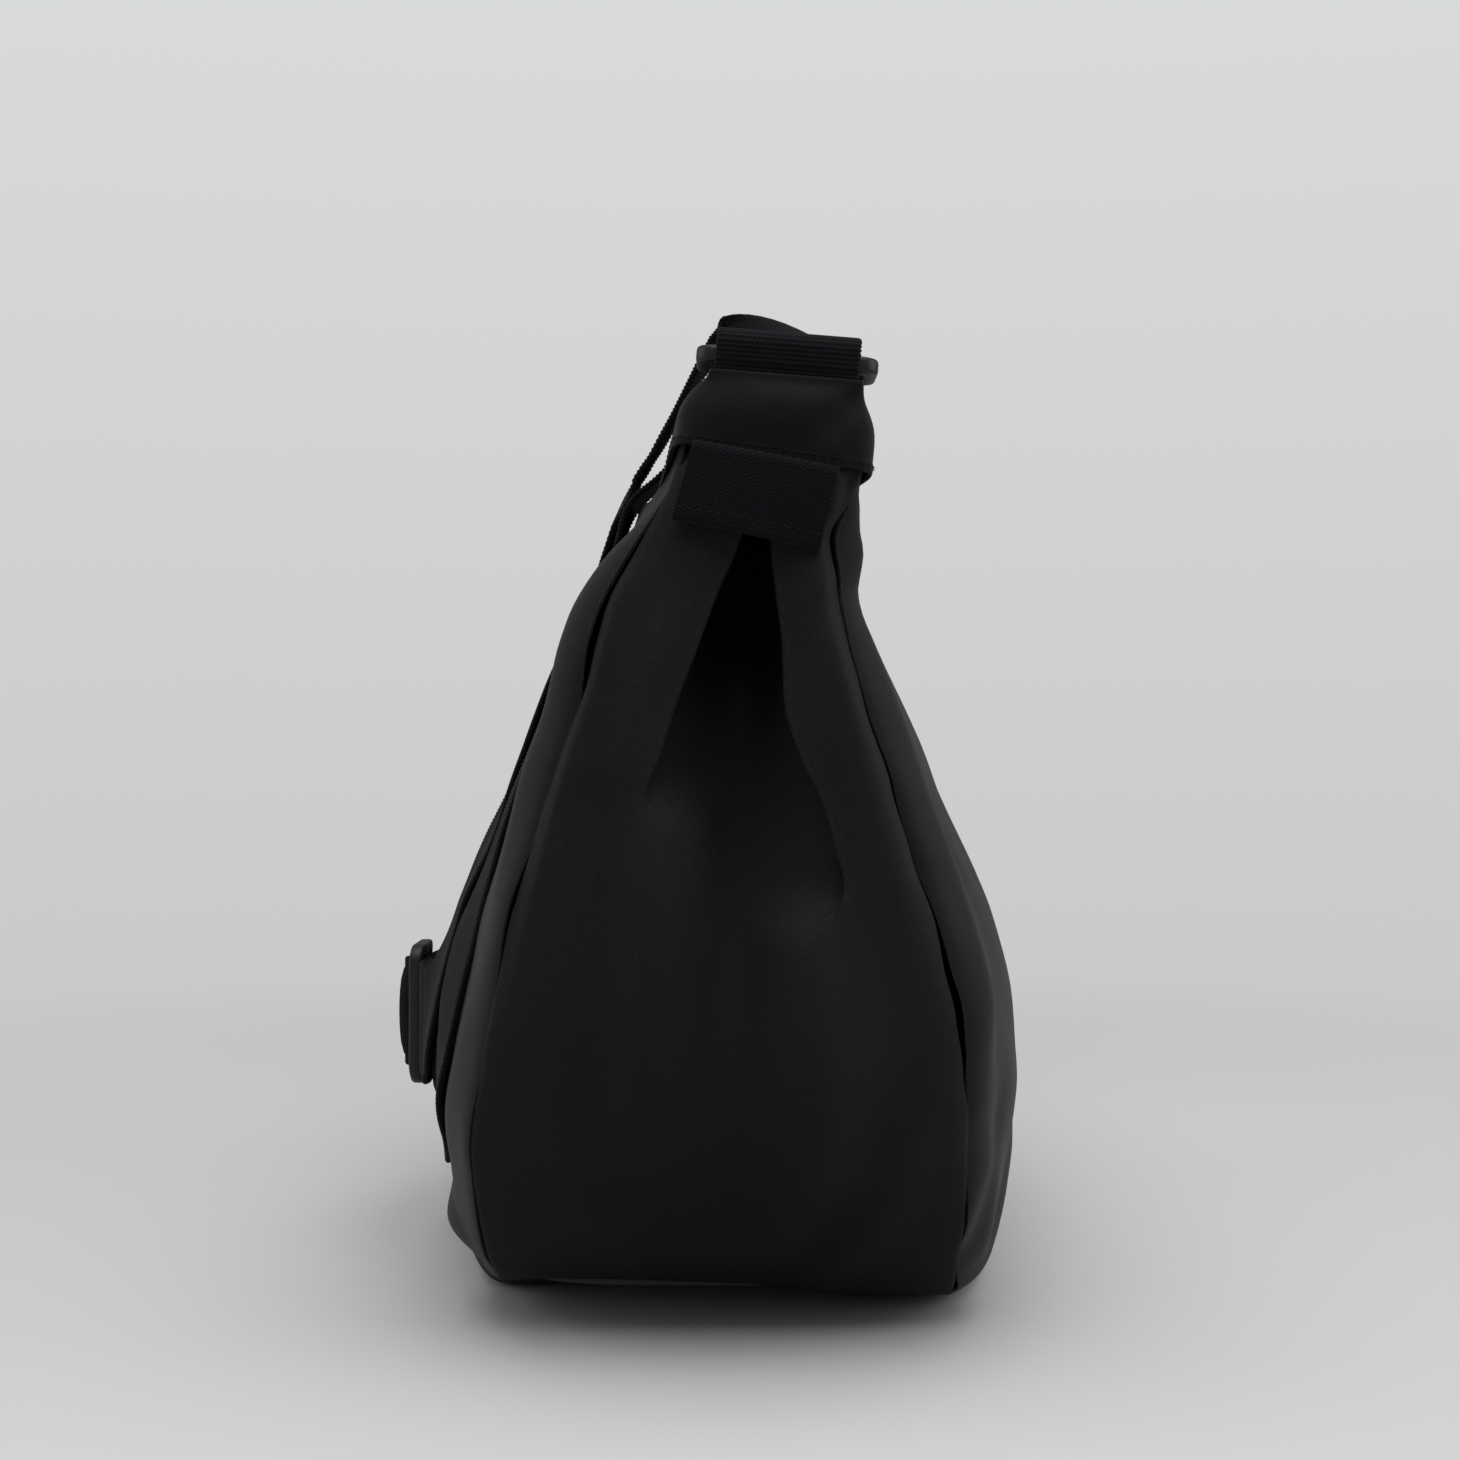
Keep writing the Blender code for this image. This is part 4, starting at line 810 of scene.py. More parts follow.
def makeGusset(name, side, node):
    rows, wear, paintedHollowShade = [], [], []
    lipAt, reach = gusset["flap"] + gusset["lip"] // 2 - 2, gusset["wearReach"]
    for z in evenHeights(gusset["rows"], gusset["top"]):
        row, depths = gussetRow(side, z)
        count = len(row)
        worn = []
        for i in range(count):
            inset = min(i, count - 1 - i)
            on = smooth((z - foldEnds[1 if i < count / 2 else -1]) / gusset["fade"])
            worn.append(gusset["lipWear"] * on * bell(inset, lipAt, reach)
                        + gusset["seamWear"] * math.exp(-inset / reach))
        rows.append(row[::-side])
        wear += worn[::-side]
        # Painted shade: the deeper a point lies in the pleat, the darker its colour
        paintedHollowShade += [smooth((depth - gusset["paintedShadeFrom"]) / gusset["paintedShadeSoft"])
                   for depth in depths][::-side]
    mesh = layMesh(name, rows)
    setNumbers(mesh, "paintedHollowShade", paintedHollowShade)
    place(clothPiece(name, mesh, "gusset", gusset["cloth"], wear), "bag", "nylon", node)


makeGusset("gussetClothLeft", -1, "end_gusset_left")
makeGusset("gussetClothRight", 1, "end_gusset_right")
print("gussets ready")


# Base

base = {"columns": 60, "rows": 36, "inset": 0.0006, "cloth": 0.0012,
        "edgeLift": 0.0009, "edgePower": 30}


def makeBase():
    foot = 2 * bag["footLift"]
    reach = endX(foot)
    rows = []
    for v in evenly(-1.0, 1.0, base["rows"]):
        row = []
        for angle in evenly(-math.pi / 2, math.pi / 2, base["columns"]):
            x = reach * math.sin(angle)
            y = v * (halfDepth(x, foot, 1 if v > 0 else -1) - base["inset"])
            edge = max(abs(v), abs(x) / reach) ** base["edgePower"]
            row.append(settle(Vector((x, y, base["cloth"] + base["edgeLift"] * edge))))
        rows.append(row)
    mesh = layMesh("basePanelCloth", rows)
    piece = clothPiece("basePanelCloth", mesh, "nylon", base["cloth"], 0.1)
    place(piece, "bag", "nylon", "base_panel")


makeBase()
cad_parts["base_board"].data.materials.clear()
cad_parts["base_board"].data.materials.append(finishes["board"])
print("base ready")


# Stitches, ribs and zip teeth, each made by one small node tree

def newTree(name, *labels):
    # A tree on a piece's geometry, with the labels as numbers and a material
    tree = bpy.data.node_groups.new(name, "GeometryNodeTree")
    tree.interface.new_socket("Geometry", in_out="OUTPUT",
                              socket_type="NodeSocketGeometry")
    names = {}
    for label in ("Geometry", *labels, "Material"):
        kind = label if label in ("Geometry", "Material") else "Float"
        names[label] = tree.interface.new_socket(
            label, in_out="INPUT", socket_type="NodeSocket" + kind).identifier
    start = tree.nodes.new("NodeGroupInput")
    return tree, names, start.outputs, tree.nodes.new("NodeGroupOutput")


def closeTree(tree, geometry, material, end):
    real = addNode(tree, "GeometryNodeRealizeInstances", {0: geometry})
    dressed = addNode(tree, "GeometryNodeSetMaterial", {
        "Geometry": real.outputs[0], "Material": material})
    tree.links.new(dressed.outputs[0], end.inputs[0])


def lineTree(name, makeBead, *labels):
    # One bead after another along edges, turned by the way that the edges face
    tree, names, start, end = newTree(name, "Pitch", *labels)
    curve = addNode(tree, "GeometryNodeMeshToCurve", {0: start["Geometry"]})
    points = addNode(tree, "GeometryNodeResampleCurve", {
        "Curve": curve.outputs[0], "Length": start["Pitch"]}, mode="LENGTH")
    facing = addNode(tree, "GeometryNodeInputNamedAttribute", {"Name": "facing"},
                     data_type="FLOAT_VECTOR")
    bead, up, along = makeBead(tree, start, facing.outputs["Attribute"])
    turn = addNode(tree, "FunctionNodeAxesToRotation", {0: up, 1: along},
                   primary_axis="Z", secondary_axis="X")
    smoothed = addNode(tree, "GeometryNodeSetShadeSmooth", {0: bead.outputs[0]})
    spread = addNode(tree, "GeometryNodeInstanceOnPoints", {
        "Points": points.outputs[0], "Instance": smoothed.outputs[0],
        "Rotation": turn.outputs[0]})
    closeTree(tree, spread.outputs[0], start["Material"], end)
    return tree, names


def stitchBead(tree, start, facing):
    # A small rounded stitch, flat on the cloth that it faces
    ball = addNode(tree, "GeometryNodeMeshUVSphere", {
        "Segments": 6, "Rings": 4, "Radius": 0.5})
    size = addNode(tree, "ShaderNodeCombineXYZ", {
        0: start["Stitch Length"], 1: start["Thread"], 2: start["Thread"]})
    bead = addNode(tree, "GeometryNodeTransform", {
        "Geometry": ball.outputs[0], "Scale": size.outputs[0]})
    return bead, facing, addNode(tree, "GeometryNodeInputTangent").outputs[0]


def toothBead(tree, start, facing):
    # A rounded bar with a head towards the zip's middle
    bar = addNode(tree, "GeometryNodeMeshCylinder", {
        "Vertices": 7, "Radius": start["Bar Radius"], "Depth": start["Bar Length"]})
    shift = addNode(tree, "ShaderNodeCombineXYZ", {
        0: mathNode(tree, "MULTIPLY", start["Bar Length"], -0.5)})
    laid = addNode(tree, "GeometryNodeTransform", {
        "Geometry": bar.outputs[0], "Translation": shift.outputs[0],
        "Rotation": (0.0, math.pi / 2, 0.0)})
    head = addNode(tree, "GeometryNodeMeshUVSphere", {
        "Segments": 7, "Rings": 4, "Radius": start["Head Radius"]})
    bead = addNode(tree, "GeometryNodeJoinGeometry")
    for part in (laid, head):
        tree.links.new(part.outputs[0], bead.inputs[0])
    return bead, (0.0, 0.0, 1.0), facing


def ribTree():
    # Ribs across webbing: the cloth swells at every pitch of the "along" distance
    tree, names, start, end = newTree("webbingRibs", "Rib Pitch", "Rib Height")
    along = addNode(tree, "GeometryNodeInputNamedAttribute", {"Name": "along"},
                    data_type="FLOAT").outputs["Attribute"]
    turns = mathNode(tree, "DIVIDE", along, start["Rib Pitch"])
    wave = mathNode(tree, "COSINE", mathNode(tree, "MULTIPLY", turns, 2 * math.pi))
    rise = mathNode(tree, "MULTIPLY", wave, start["Rib Height"])
    normal = addNode(tree, "GeometryNodeInputNormal")
    shift = addNode(tree, "ShaderNodeVectorMath", {0: normal.outputs[0], "Scale": rise},
                    operation="SCALE")
    moved = addNode(tree, "GeometryNodeSetPosition", {
        "Geometry": start["Geometry"], "Offset": shift.outputs[0]})
    closeTree(tree, moved.outputs[0], start["Material"], end)
    return tree, names


trees = {
    "stitches": lineTree("stitchLine", stitchBead, "Stitch Length", "Thread"),
    "teeth": lineTree("zipTeeth", toothBead, "Bar Length", "Bar Radius", "Head Radius"),
    "ribs": ribTree(),
}
sewing = {"pitch": 0.0032, "stitchLength": 0.0024, "thread": 0.00042}


def grow(piece, kind, **values):
    # Runs one of the trees on a piece and keeps its plain mesh
    tree, names = trees[kind]
    modifier = piece.modifiers.new(kind, "NODES")
    modifier.node_group = tree
    for label, value in values.items():
        spaced = "".join(" " + c if c.isupper() else c for c in label).title()
        modifier[names[spaced]] = value
    return bake(piece)


def lineObject(name, lines):
    # Open lines of (point, facing) pairs as one object of edges
    verts, edges, facings = [], [], []
    for line in lines:
        for i, (point, facing) in enumerate(line):
            if i:
                edges.append((len(verts) - 1, len(verts)))
            verts.append(point)
            facings += list(Vector(facing).normalized())
    mesh = bpy.data.meshes.new(name)
    mesh.from_pydata(verts, edges, [])
    layer = mesh.attributes.new("facing", "FLOAT_VECTOR", "POINT")
    layer.data.foreach_set("vector", facings)
    return addObject(name, mesh)


def sew(name, lines, body, pitch=sewing["pitch"]):
    piece = lineObject(name, lines)
    grow(piece, "stitches", pitch=pitch,
         stitchLength=sewing["stitchLength"] * pitch / sewing["pitch"],
         thread=sewing["thread"], material=finishes["thread"])
    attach(piece, body)


# Hoods over the horns

hood = {
    "sides": 96, "cloth": 0.0010, "innerX": 0.1635, "outerX": 0.2012, "innerTaper": 0.0030,
    "neckX": 0.194, "neckHalfX": 0.0046, "neckRise": 0.0165, "innerDrop": 0.0082,
    "slopeLeft": 8.5, "rollLeft": 4.6, "rollRight": 1.0, "hem": 0.2484,
    "hemWear": (0.25, 0.0012), "dropTop": (0.2535, 0.011), "tiltTop": (0.252, 0.012),
    "stitchLevel": (0.2503, 0.0281, 0.40, 0.0), "stitchPitch": 0.0026,
}
# The hood's soft shape: a dent from the webbing's lower end, a swelling and ripples
hoodFolds = {
    "dent": 0.0016, "dentWidth": 0.0036, "dentTop": 0.2647, "dentY": -0.0170,
    "dentSlope": 0.91, "swell": 0.0014, "swellY": -0.001, "swellWidth": 0.011,
    "ripple": 0.0006, "rippleScale": 95, "heights": (0.2530, 0.2676, 0.004),
    "faceX": 0.188, "faceSoft": 0.010,
}
# Height, half width in y, squareness, share of the way to the neck's place
hoodLevels = [
    (0.2482, 0.0279, 0.40, 0.0), (0.2486, 0.0281, 0.40, 0.0), (0.2492, 0.0281, 0.40, 0.0),
    (0.2500, 0.0280, 0.40, 0.0), (0.2507, 0.0280, 0.40, 0.0), (0.2511, 0.0277, 0.40, 0.0),
    (0.2516, 0.0274, 0.40, 0.0), (0.2545, 0.0273, 0.42, 0.0), (0.2580, 0.0269, 0.44, 0.03),
    (0.2605, 0.0262, 0.46, 0.08), (0.2630, 0.0250, 0.50, 0.18), (0.2650, 0.0236, 0.52, 0.34),
    (0.2666, 0.0222, 0.50, 0.60), (0.2676, 0.0211, 0.40, 0.86), (0.2684, 0.0206, 0.30, 1.0),
    (0.2700, 0.0204, 0.25, 1.0),
]


def webbingPlace(side):
    # Where a horn's webbing turns round its ring, and its roll
    roll = math.radians(hood["rollLeft"] if side < 0 else hood["rollRight"])
    y = lean(side * bag["halfLength"], bag["hornTop"]) - hood["neckRise"] * math.tan(2 * roll)
    return Vector((side * hood["neckX"], y, bag["hornTop"] + hood["neckRise"])), roll


def hemSlope(roll):
    return math.radians(hood["slopeLeft"]) * roll / math.radians(hood["rollLeft"])


def squircle(angle, squareness):
    # A place on the unit circle, pushed out towards a square
    return [math.copysign(abs(v) ** squareness, v) for v in (math.cos(angle), math.sin(angle))]


def hoodRing(side, level):
    z, halfY, square, toNeck = level
    turnPlace, roll = webbingPlace(side)
    slope = hemSlope(roll)
    inner, outer = (x + (hood["neckX"] + end * hood["neckHalfX"] - x) * toNeck
                    for x, end in ((hood["innerX"], -1), (hood["outerX"], 1)))
    centre, halfX = (inner + outer) / 2, (outer - inner) / 2
    tilt = slope + (roll - slope) * smooth((z - hood["tiltTop"][0]) / hood["tiltTop"][1])
    drop = 1 - smooth((z - hood["dropTop"][0]) / hood["dropTop"][1])
    ring = []
    for i in range(hood["sides"]):
        along, y = squircle(2 * math.pi * i / hood["sides"], square)
        x, y = side * (centre + halfX * along), halfY * y
        inwards = smooth((hood["outerX"] - abs(x)) / (hood["outerX"] - hood["innerX"]))
        low = inwards * drop
        y -= math.copysign(hood["innerTaper"], y) * inwards
        high = z + math.tan(tilt) * y * (1 - low) - hood["innerDrop"] * low
        neckY = turnPlace.y + (turnPlace.z - z) * math.tan(roll)
        y += toNeck * neckY + (1 - toNeck) * lean(x, min(high, bag["hornTop"]))
        ring.append(Vector((x, y, high)))
    return ring


def hoodPoint(side, p, z):
    folds = hoodFolds
    face = smooth((abs(p.x) - folds["faceX"]) / folds["faceSoft"])
    across = p.y - webbingPlace(side)[0].y
    dentY = folds["dentY"] + (folds["dentTop"] - z) * folds["dentSlope"]
    relief = folds["swell"] * bell(across, folds["swellY"], folds["swellWidth"])
    relief -= folds["dent"] * bell(across, dentY, folds["dentWidth"])
    share = between(z, *folds["heights"])
    ripple = folds["ripple"] * noise.noise(p * folds["rippleScale"])
    return Vector((p.x + side * share * (face * relief + ripple), p.y + share * ripple, p.z))


def makeHood(name, side, node):
    # Returns the line of stitches along its hem
    rows, wear = [], []
    most, width = hood["hemWear"]
    for level in hoodLevels:
        rows.append([hoodPoint(side, p, level[0]) for p in hoodRing(side, level)][::side])
        wear += [most * bell(level[0], hood["hem"], width)] * hood["sides"]
    mesh = layMesh(name, rows, round=True)
    setNumbers(mesh, "wear", wear)
    piece = newPiece(name, mesh, "hood")
    finer = piece.modifiers.new("finer", "SUBSURF")
    finer.levels = finer.render_levels = 1
    place(thicken(bake(piece), hood["cloth"]), "bag", "nylon", node)
    ring = hoodRing(side, hood["stitchLevel"])
    centre = sum(ring, Vector()) / len(ring)
    return [(p, (p.x - centre.x, p.y - centre.y, 0.0)) for p in ring + ring[:1]]


hemLines = [makeHood("hoodLeft", -1, "end_cap_left"), makeHood("hoodRight", 1, "end_cap_right")]
sew("hoodHemStitches", hemLines, "bag", pitch=hood["stitchPitch"])
print("hoods ready")


# Webbing

webbing = {
    "width": 0.038, "thickness": 0.0016, "ribPitch": 0.0012, "ribHeight": 0.00016,
    "rowsPerRib": 4, "faceSteps": 10, "edgeSteps": 3,
    "curlReach": 22, "curlFrom": 14.0, "curlShare": 0.7, "curlFlat": (0.3, 0.3),
}


def webbingProfile(width, thickness):
    # Points round the webbing's section: (across, out)
    half, r = width / 2 - thickness / 2, thickness / 2
    points = []
    for sign in (1, -1):
        points += [(-sign * t * half, sign * r)
                   for t in evenly(-1.0, 1.0, webbing["faceSteps"])]
        points += [(sign * x, sign * y)
                   for x, y in arc(-half, r, 90, 270, webbing["edgeSteps"] + 1)[1:-1]]
    return points


def measured(frames):
    lengths = [0.0]
    for (a, _), (b, _) in zip(frames, frames[1:]):
        lengths.append(lengths[-1] + (b - a).length)
    return lengths


def evenFrames(frames, step, first=0.0, last=None):
    # Frames at an even spacing along the webbing, between two distances
    lengths = measured(frames)
    last = lengths[-1] if last is None else last
    found = []
    for target, at, t in spots(lengths, first, last, max(2, round((last - first) / step))):
        (a, c), (b, d) = frames[at], frames[at + 1]
        found.append((a.lerp(b, t), c.lerp(d, t).normalized(), target))
    return found


def curling(even, i, out):
    # How tightly the edges curl down where a flat run turns sharply in its own plane
    n = webbing["curlReach"]
    if i < n or i + n >= len(even):
        return 0.0
    a, b, c = even[i - n][0], even[i][0], even[i + n][0]
    turn = ((c - b).normalized() - (b - a).normalized()).dot(even[i][1])
    bend = max(0.0, abs(turn) * 2 / (c - a).length - webbing["curlFrom"])
    low, soft = webbing["curlFlat"]
    return bend * webbing["curlShare"] * smooth((abs(out.z) - low) / soft)


def webbingPiece(name, frames, laid=None):
    # A closed band through (middle, across) frames, ribbed across its length
    even = evenFrames(frames, webbing["ribPitch"] / webbing["rowsPerRib"])
    profile = webbingProfile(webbing["width"], webbing["thickness"])
    count = len(profile)
    rows, along = [], []
    for i, (middle, across, distance) in enumerate(even):
        a, b = even[max(0, i - 1)][0], even[min(len(even) - 1, i + 1)][0]
        out = (b - a).cross(across).normalized()
        curl = curling(even, i, out) if laid else 0.0
        row = []
        for x, y in profile:
            q, n = middle + across * x, out
            if curl > 1:
                angle, down = x * curl, -1 if out.z > 0 else 1
                q = middle + (across * math.sin(angle) + out * down * (1 - math.cos(angle))) / curl
                n = out * math.cos(angle) - across * down * math.sin(angle)
            row.append((laid(middle, q) if laid else q) + n * y)
        rows.append(row)
        along += [distance] * count

    def closeEnds(bm):
        for start in (0, (len(rows) - 1) * count):
            bm.faces.new([bm.verts[start + c] for c in range(count)])

    mesh = edited(layMesh(name, rows, round=True), closeEnds)
    setNumbers(mesh, "along", along)
    return grow(newPiece(name, mesh, None), "ribs", ribPitch=webbing["ribPitch"],
                ribHeight=webbing["ribHeight"], material=finishes["webbing"])


def ringFrames(side, path):
    # Frames for a path of (out, up) places round where a horn's webbing turns
    turnPlace, roll = webbingPlace(side)
    turn = Matrix.Rotation(roll, 3, "X")
    across = turn @ Vector((0.0, 1.0, 0.0))
    return [(turnPlace + turn @ Vector((x, 0.0, y)), across) for x, y in path]


# Anchor webbing: a loop round each ring's outer bar that goes down into the hood
anchor = {"halfWidth": 0.0035, "halfHeight": 0.0062, "tail": 0.0068, "steps": 24,
          "from": -27, "to": 207, "pinch": ((0.55, 1.0), (0.75, 0.55)), "lower": 0.4}


def makeAnchor(name, side, node):
    r, tail = anchor["halfWidth"], anchor["tail"]
    straight = anchor["halfHeight"] - r
    ends = [(r * wide, -tail * down - straight) for wide, down in anchor["pinch"]]
    turn = arc(0.0, r, anchor["from"], anchor["to"], anchor["steps"])
    path = [*ends, *((x, y + straight * (1.0 if y > 0 else -anchor["lower"]))
                     for x, y in turn), *((-x, y) for x, y in ends[::-1])]
    place(webbingPiece(name, ringFrames(side, path)), "bag", "webbing", node)


makeAnchor("anchorWebbingLeft", -1, "anchor_webbing_left")
makeAnchor("anchorWebbingRight", 1, "anchor_webbing_right")
print("anchor webbing ready")


# Rings and the adjuster's frame

hardware = {
    "bar": 0.0046, "window": 0.0145, "halfWidth": 0.0242, "corner": 0.0058,
    "cornerSteps": 9, "barSides": 16, "slot": 0.0082, "squareness": 0.48,
}
adjuster = {"place": (0.0099, 0.10998, 0.07824), "reach": 0.040, "bow": 0.0016,
            "barSteps": 16, "cupFrom": 0.004, "cupEdge": 0.0030}


def frameLoop(halfX, halfY, corner):
    # Places round the frame's middle line, each with the way out from it
    points = []
    for start, x, y in ((0, 1, 1), (90, -1, 1), (180, -1, -1), (270, 1, -1)):
        x, y = x * (halfX - corner), y * (halfY - corner)
        points += [(x + corner * c, y + corner * s, c, s)
                   for c, s in arc(0.0, 1.0, start, start + 90, hardware["cornerSteps"])]
    return points


def barOffsets():
    sides, half = hardware["barSides"], hardware["bar"] / 2
    return [[half * v for v in squircle(2 * math.pi * (i + 0.5) / sides, hardware["squareness"])]
            for i in range(sides)]


def closedFrame(name, halfX, halfY, turn):
    # A rounded bar bent into a rectangular frame
    half = hardware["bar"] / 2
    loop = frameLoop(halfX - half, halfY - half, hardware["corner"] - half)
    rows = [[turn @ Vector((x + out * nx, y + out * ny, up)) for x, y, nx, ny in loop]
            for out, up in barOffsets()]
    return edited(layMesh(name, rows + rows[:1], round=True),
                  lambda bm: bmesh.ops.remove_doubles(bm, verts=bm.verts[:], dist=1e-6))


def makeRing(name, side, node, body):
    turnPlace, roll = webbingPlace(side)
    depth = hardware["window"] + 2 * hardware["bar"]
    inwards = Vector((side * (hardware["bar"] - depth) / 2, 0.0, 0.0))
    turn = (Matrix.Translation(turnPlace) @ Matrix.Rotation(roll, 4, "X")
            @ Matrix.Translation(inwards))
    mesh = closedFrame(name, depth / 2, hardware["halfWidth"], turn)
    place(newPiece(name, mesh, "plastic"), body, "plastic", node)


def makeAdjuster():
    # A frame with a bar across its middle, both bowed towards the bag at the ends
    name, at = "adjusterFrame", Vector(adjuster["place"])
    bar, half = hardware["bar"], hardware["halfWidth"]
    turn = Matrix.Translation(at) @ Matrix.Rotation(math.pi / 2, 4, "X")
    middle = layMesh("adjusterBar", [
        [turn @ Vector((out, y, up)) for out, up in barOffsets()]
        for y in evenly(bar / 2 - half, half - bar / 2, adjuster["barSteps"])], round=True)

    def join(bm):
        bm.from_mesh(middle)
        for vert in bm.verts:
            vert.co.y -= adjuster["bow"] * ((vert.co.z - at.z) / half) ** 2
        bmesh.ops.holes_fill(bm, edges=[e for e in bm.edges if e.is_boundary], sides=0)

    mesh = edited(closedFrame(name, 1.5 * bar + hardware["slot"], half, turn), join)
    bpy.data.meshes.remove(middle)
    place(newPiece(name, mesh, "plastic"), "glide", "plastic", "strap_glide")


makeRing("ringLeft", -1, "ring_left", "ring_end_left")
makeRing("ringRight", 1, "ring_right", "ring_end_right")
makeAdjuster()
print("rings and adjuster ready")


# The strap

# Places beside the back panel: shares of the half length, of the half depth outwards
# and of the height, and how far the webbing's face is turned upwards
upperLayer = [
    (-0.770, -0.418, 1.195, 1.0), (-0.746, -0.398, 1.201, 1.0),
    (-0.728, -0.355, 1.201, 0.95), (-0.716, -0.301, 1.193, 0.85),
    (-0.710, -0.237, 1.175, 0.7), (-0.707, -0.172, 1.148, 0.5),
    (-0.706, -0.108, 1.110, 0.25), (-0.706, -0.030, 1.062, 0.12),
    (-0.698, 0.050, 1.006, 0.05), (-0.658, 0.038, 0.938, 0), (-0.590, 0.036, 0.833, 0),
    (-0.515, 0.024, 0.729, 0), (-0.455, 0.014, 0.625, 0), (-0.412, 0.016, 0.529, 0),
    (-0.374, 0.024, 0.446, 0), (-0.343, 0.041, 0.400, 0), (-0.303, 0.058, 0.364, 0),
    (-0.253, 0.076, 0.340, 0), (-0.207, 0.092, 0.329, 0),
]
lowerLayer = [
    (-0.770, -0.407, 1.128, 1.0), (-0.748, -0.392, 1.127, 1.0),
    (-0.730, -0.356, 1.122, 0.95), (-0.718, -0.305, 1.113, 0.85),
    (-0.711, -0.246, 1.099, 0.7), (-0.708, -0.183, 1.081, 0.55),
    (-0.707, -0.121, 1.058, 0.4), (-0.707, -0.055, 1.033, 0.25),
    (-0.707, 0.028, 0.998, 0.05), (-0.709, 0.016, 0.925, 0), (-0.714, 0.014, 0.833, 0),
    (-0.717, 0.013, 0.708, 0), (-0.717, 0.013, 0.583, 0), (-0.707, 0.014, 0.488, 0),
    (-0.679, 0.016, 0.404, 0), (-0.629, 0.016, 0.333, 0), (-0.556, 0.017, 0.283, 0),
    (-0.475, 0.016, 0.263, 0), (-0.404, 0.018, 0.268, 0), (-0.333, 0.020, 0.285, 0),
    (-0.263, 0.038, 0.307, 0), (-0.212, 0.070, 0.320, 0),
]
singleRun = [
    (0.308, 0.088, 0.329, 0), (0.354, 0.068, 0.340, 0), (0.404, 0.048, 0.364, 0),
    (0.449, 0.034, 0.400, 0), (0.490, 0.026, 0.448, 0), (0.525, 0.022, 0.529, 0),
    (0.560, 0.019, 0.625, 0), (0.598, 0.019, 0.729, 0), (0.640, 0.022, 0.833, 0),
    (0.678, 0.028, 0.938, 0), (0.700, 0.048, 1.008, 0.05), (0.706, 0.030, 1.058, 0.12),
    (0.706, -0.005, 1.100, 0.25), (0.707, -0.054, 1.138, 0.5), (0.710, -0.113, 1.167, 0.7),
    (0.716, -0.183, 1.188, 0.85), (0.728, -0.247, 1.198, 0.95), (0.746, -0.281, 1.199, 1.0),
    (0.770, -0.298, 1.194, 1.0),
]
strap = {
    "turnRadius": 0.0037, "loopReach": 0.012, "loopRise": 0.006, "lead": 0.005,
    "steps": 10, "fit": 0.0004, "bend": 0.003, "sewnShare": 0.62,
    "crestRise": 0.0250, "crestTilt": 0.19, "ease": 9, "droop": 0.0055,
    "lipsWay": (0.231, 0.026, 0.012),     # height, reach and softness of the lips' way
    "hugFoot": 0.02, "hugTop": 0.236, "hugSoft": 0.014, "hugGap": (-0.020, 0.0085, 0.0035),
}


def backY(x, z):
    return halfDepth(x, z) - hollow(x, z) + lean(x, z)


def stationsOf(table, raised=False):
    # The raised layer crests above its ring, with its back edge higher
    stations = []
    for i, (along, out, up, upward) in enumerate(table):
        crest = between(i, -1.5, 7.0, 3.0) if raised else 0.0
        up += strap["crestRise"] * crest
        x, z = along * bag["halfLength"], up * bag["height"]
        y = backY(x, z) + out * bag["halfDepth"]
        step = webbing["width"] / 4
        slopeX = (backY(x + step, z) - backY(x - step, z)) / (2 * step)
        slopeZ = (backY(x, z + step) - backY(x, z - step)) / (2 * step)
        face = Vector((-slopeX, 1.0, -slopeZ)).normalized()
        face = face.lerp(Vector((0.0, 0.0, 1.0)), upward).normalized()
        face.y -= strap["crestTilt"] * crest * upward
        stations.append((Vector((x, y, z)), face.normalized()))
    return stations


def smoothPath(points):
    path = []
    for i in range(len(points) - 1):
        before, a = points[max(0, i - 1)], points[i]
        b, after = points[i + 1], points[min(len(points) - 1, i + 2)]
        for t in evenly(0.0, 1.0, strap["steps"])[:-1]:
            path.append(0.5 * (2 * a + (b - before) * t
                               + (2 * before - 5 * a + 4 * b - after) * t * t
                               + (3 * a - before - 3 * b + after) * t ** 3))
    return path + [points[-1]]


def runFrames(stations):
    # (middle, across) along a run of the strap
    middles = smoothPath([middle for middle, _ in stations])
    faces = smoothPath([face for _, face in stations])
    frames = []
    for i, (middle, face) in enumerate(zip(middles, faces)):
        a, b = middles[max(0, i - 1)], middles[min(len(middles) - 1, i + 1)]
        frames.append((middle, face.cross(b - a).normalized()))
    return frames


def eased(frames, reach):
    # The frames of a run with its sharp turns softened and its ends kept
    even = evenFrames(frames, 0.001)
    height, half, soft = strap["lipsWay"]
    found = []
    for i in range(len(even)):
        calm = smooth((abs(even[i][0].z - height) - half) / soft)
        n = min(round(reach * calm), i, len(even) - 1 - i)
        near = even[i - n:i + n + 1]
        middle = sum((f[0] for f in near), Vector()) / len(near)
        found.append((middle, sum((f[1] for f in near), Vector()).normalized()))
    return found


def backSurface(x, z):
    u = max(-0.96, min(0.96, x / endX(z)))
    return panelPoint(1, u, z).y


def hugged(middle, q):
    # Where a strap close to the back panel lies, laid on the cloth beneath it
    top = strap["hugTop"]
    if middle.z > top or middle.z < strap["hugFoot"]:
        return q
    gap = middle.y - backSurface(middle.x, middle.z)
    share = between(gap, *strap["hugGap"]) * smooth((top - middle.z) / strap["hugSoft"])
    if share <= 0.0:
        return q
    low = backSurface(q.x, min(q.z, top)) + gap
    return Vector((q.x, q.y + share * (low - q.y), q.z))


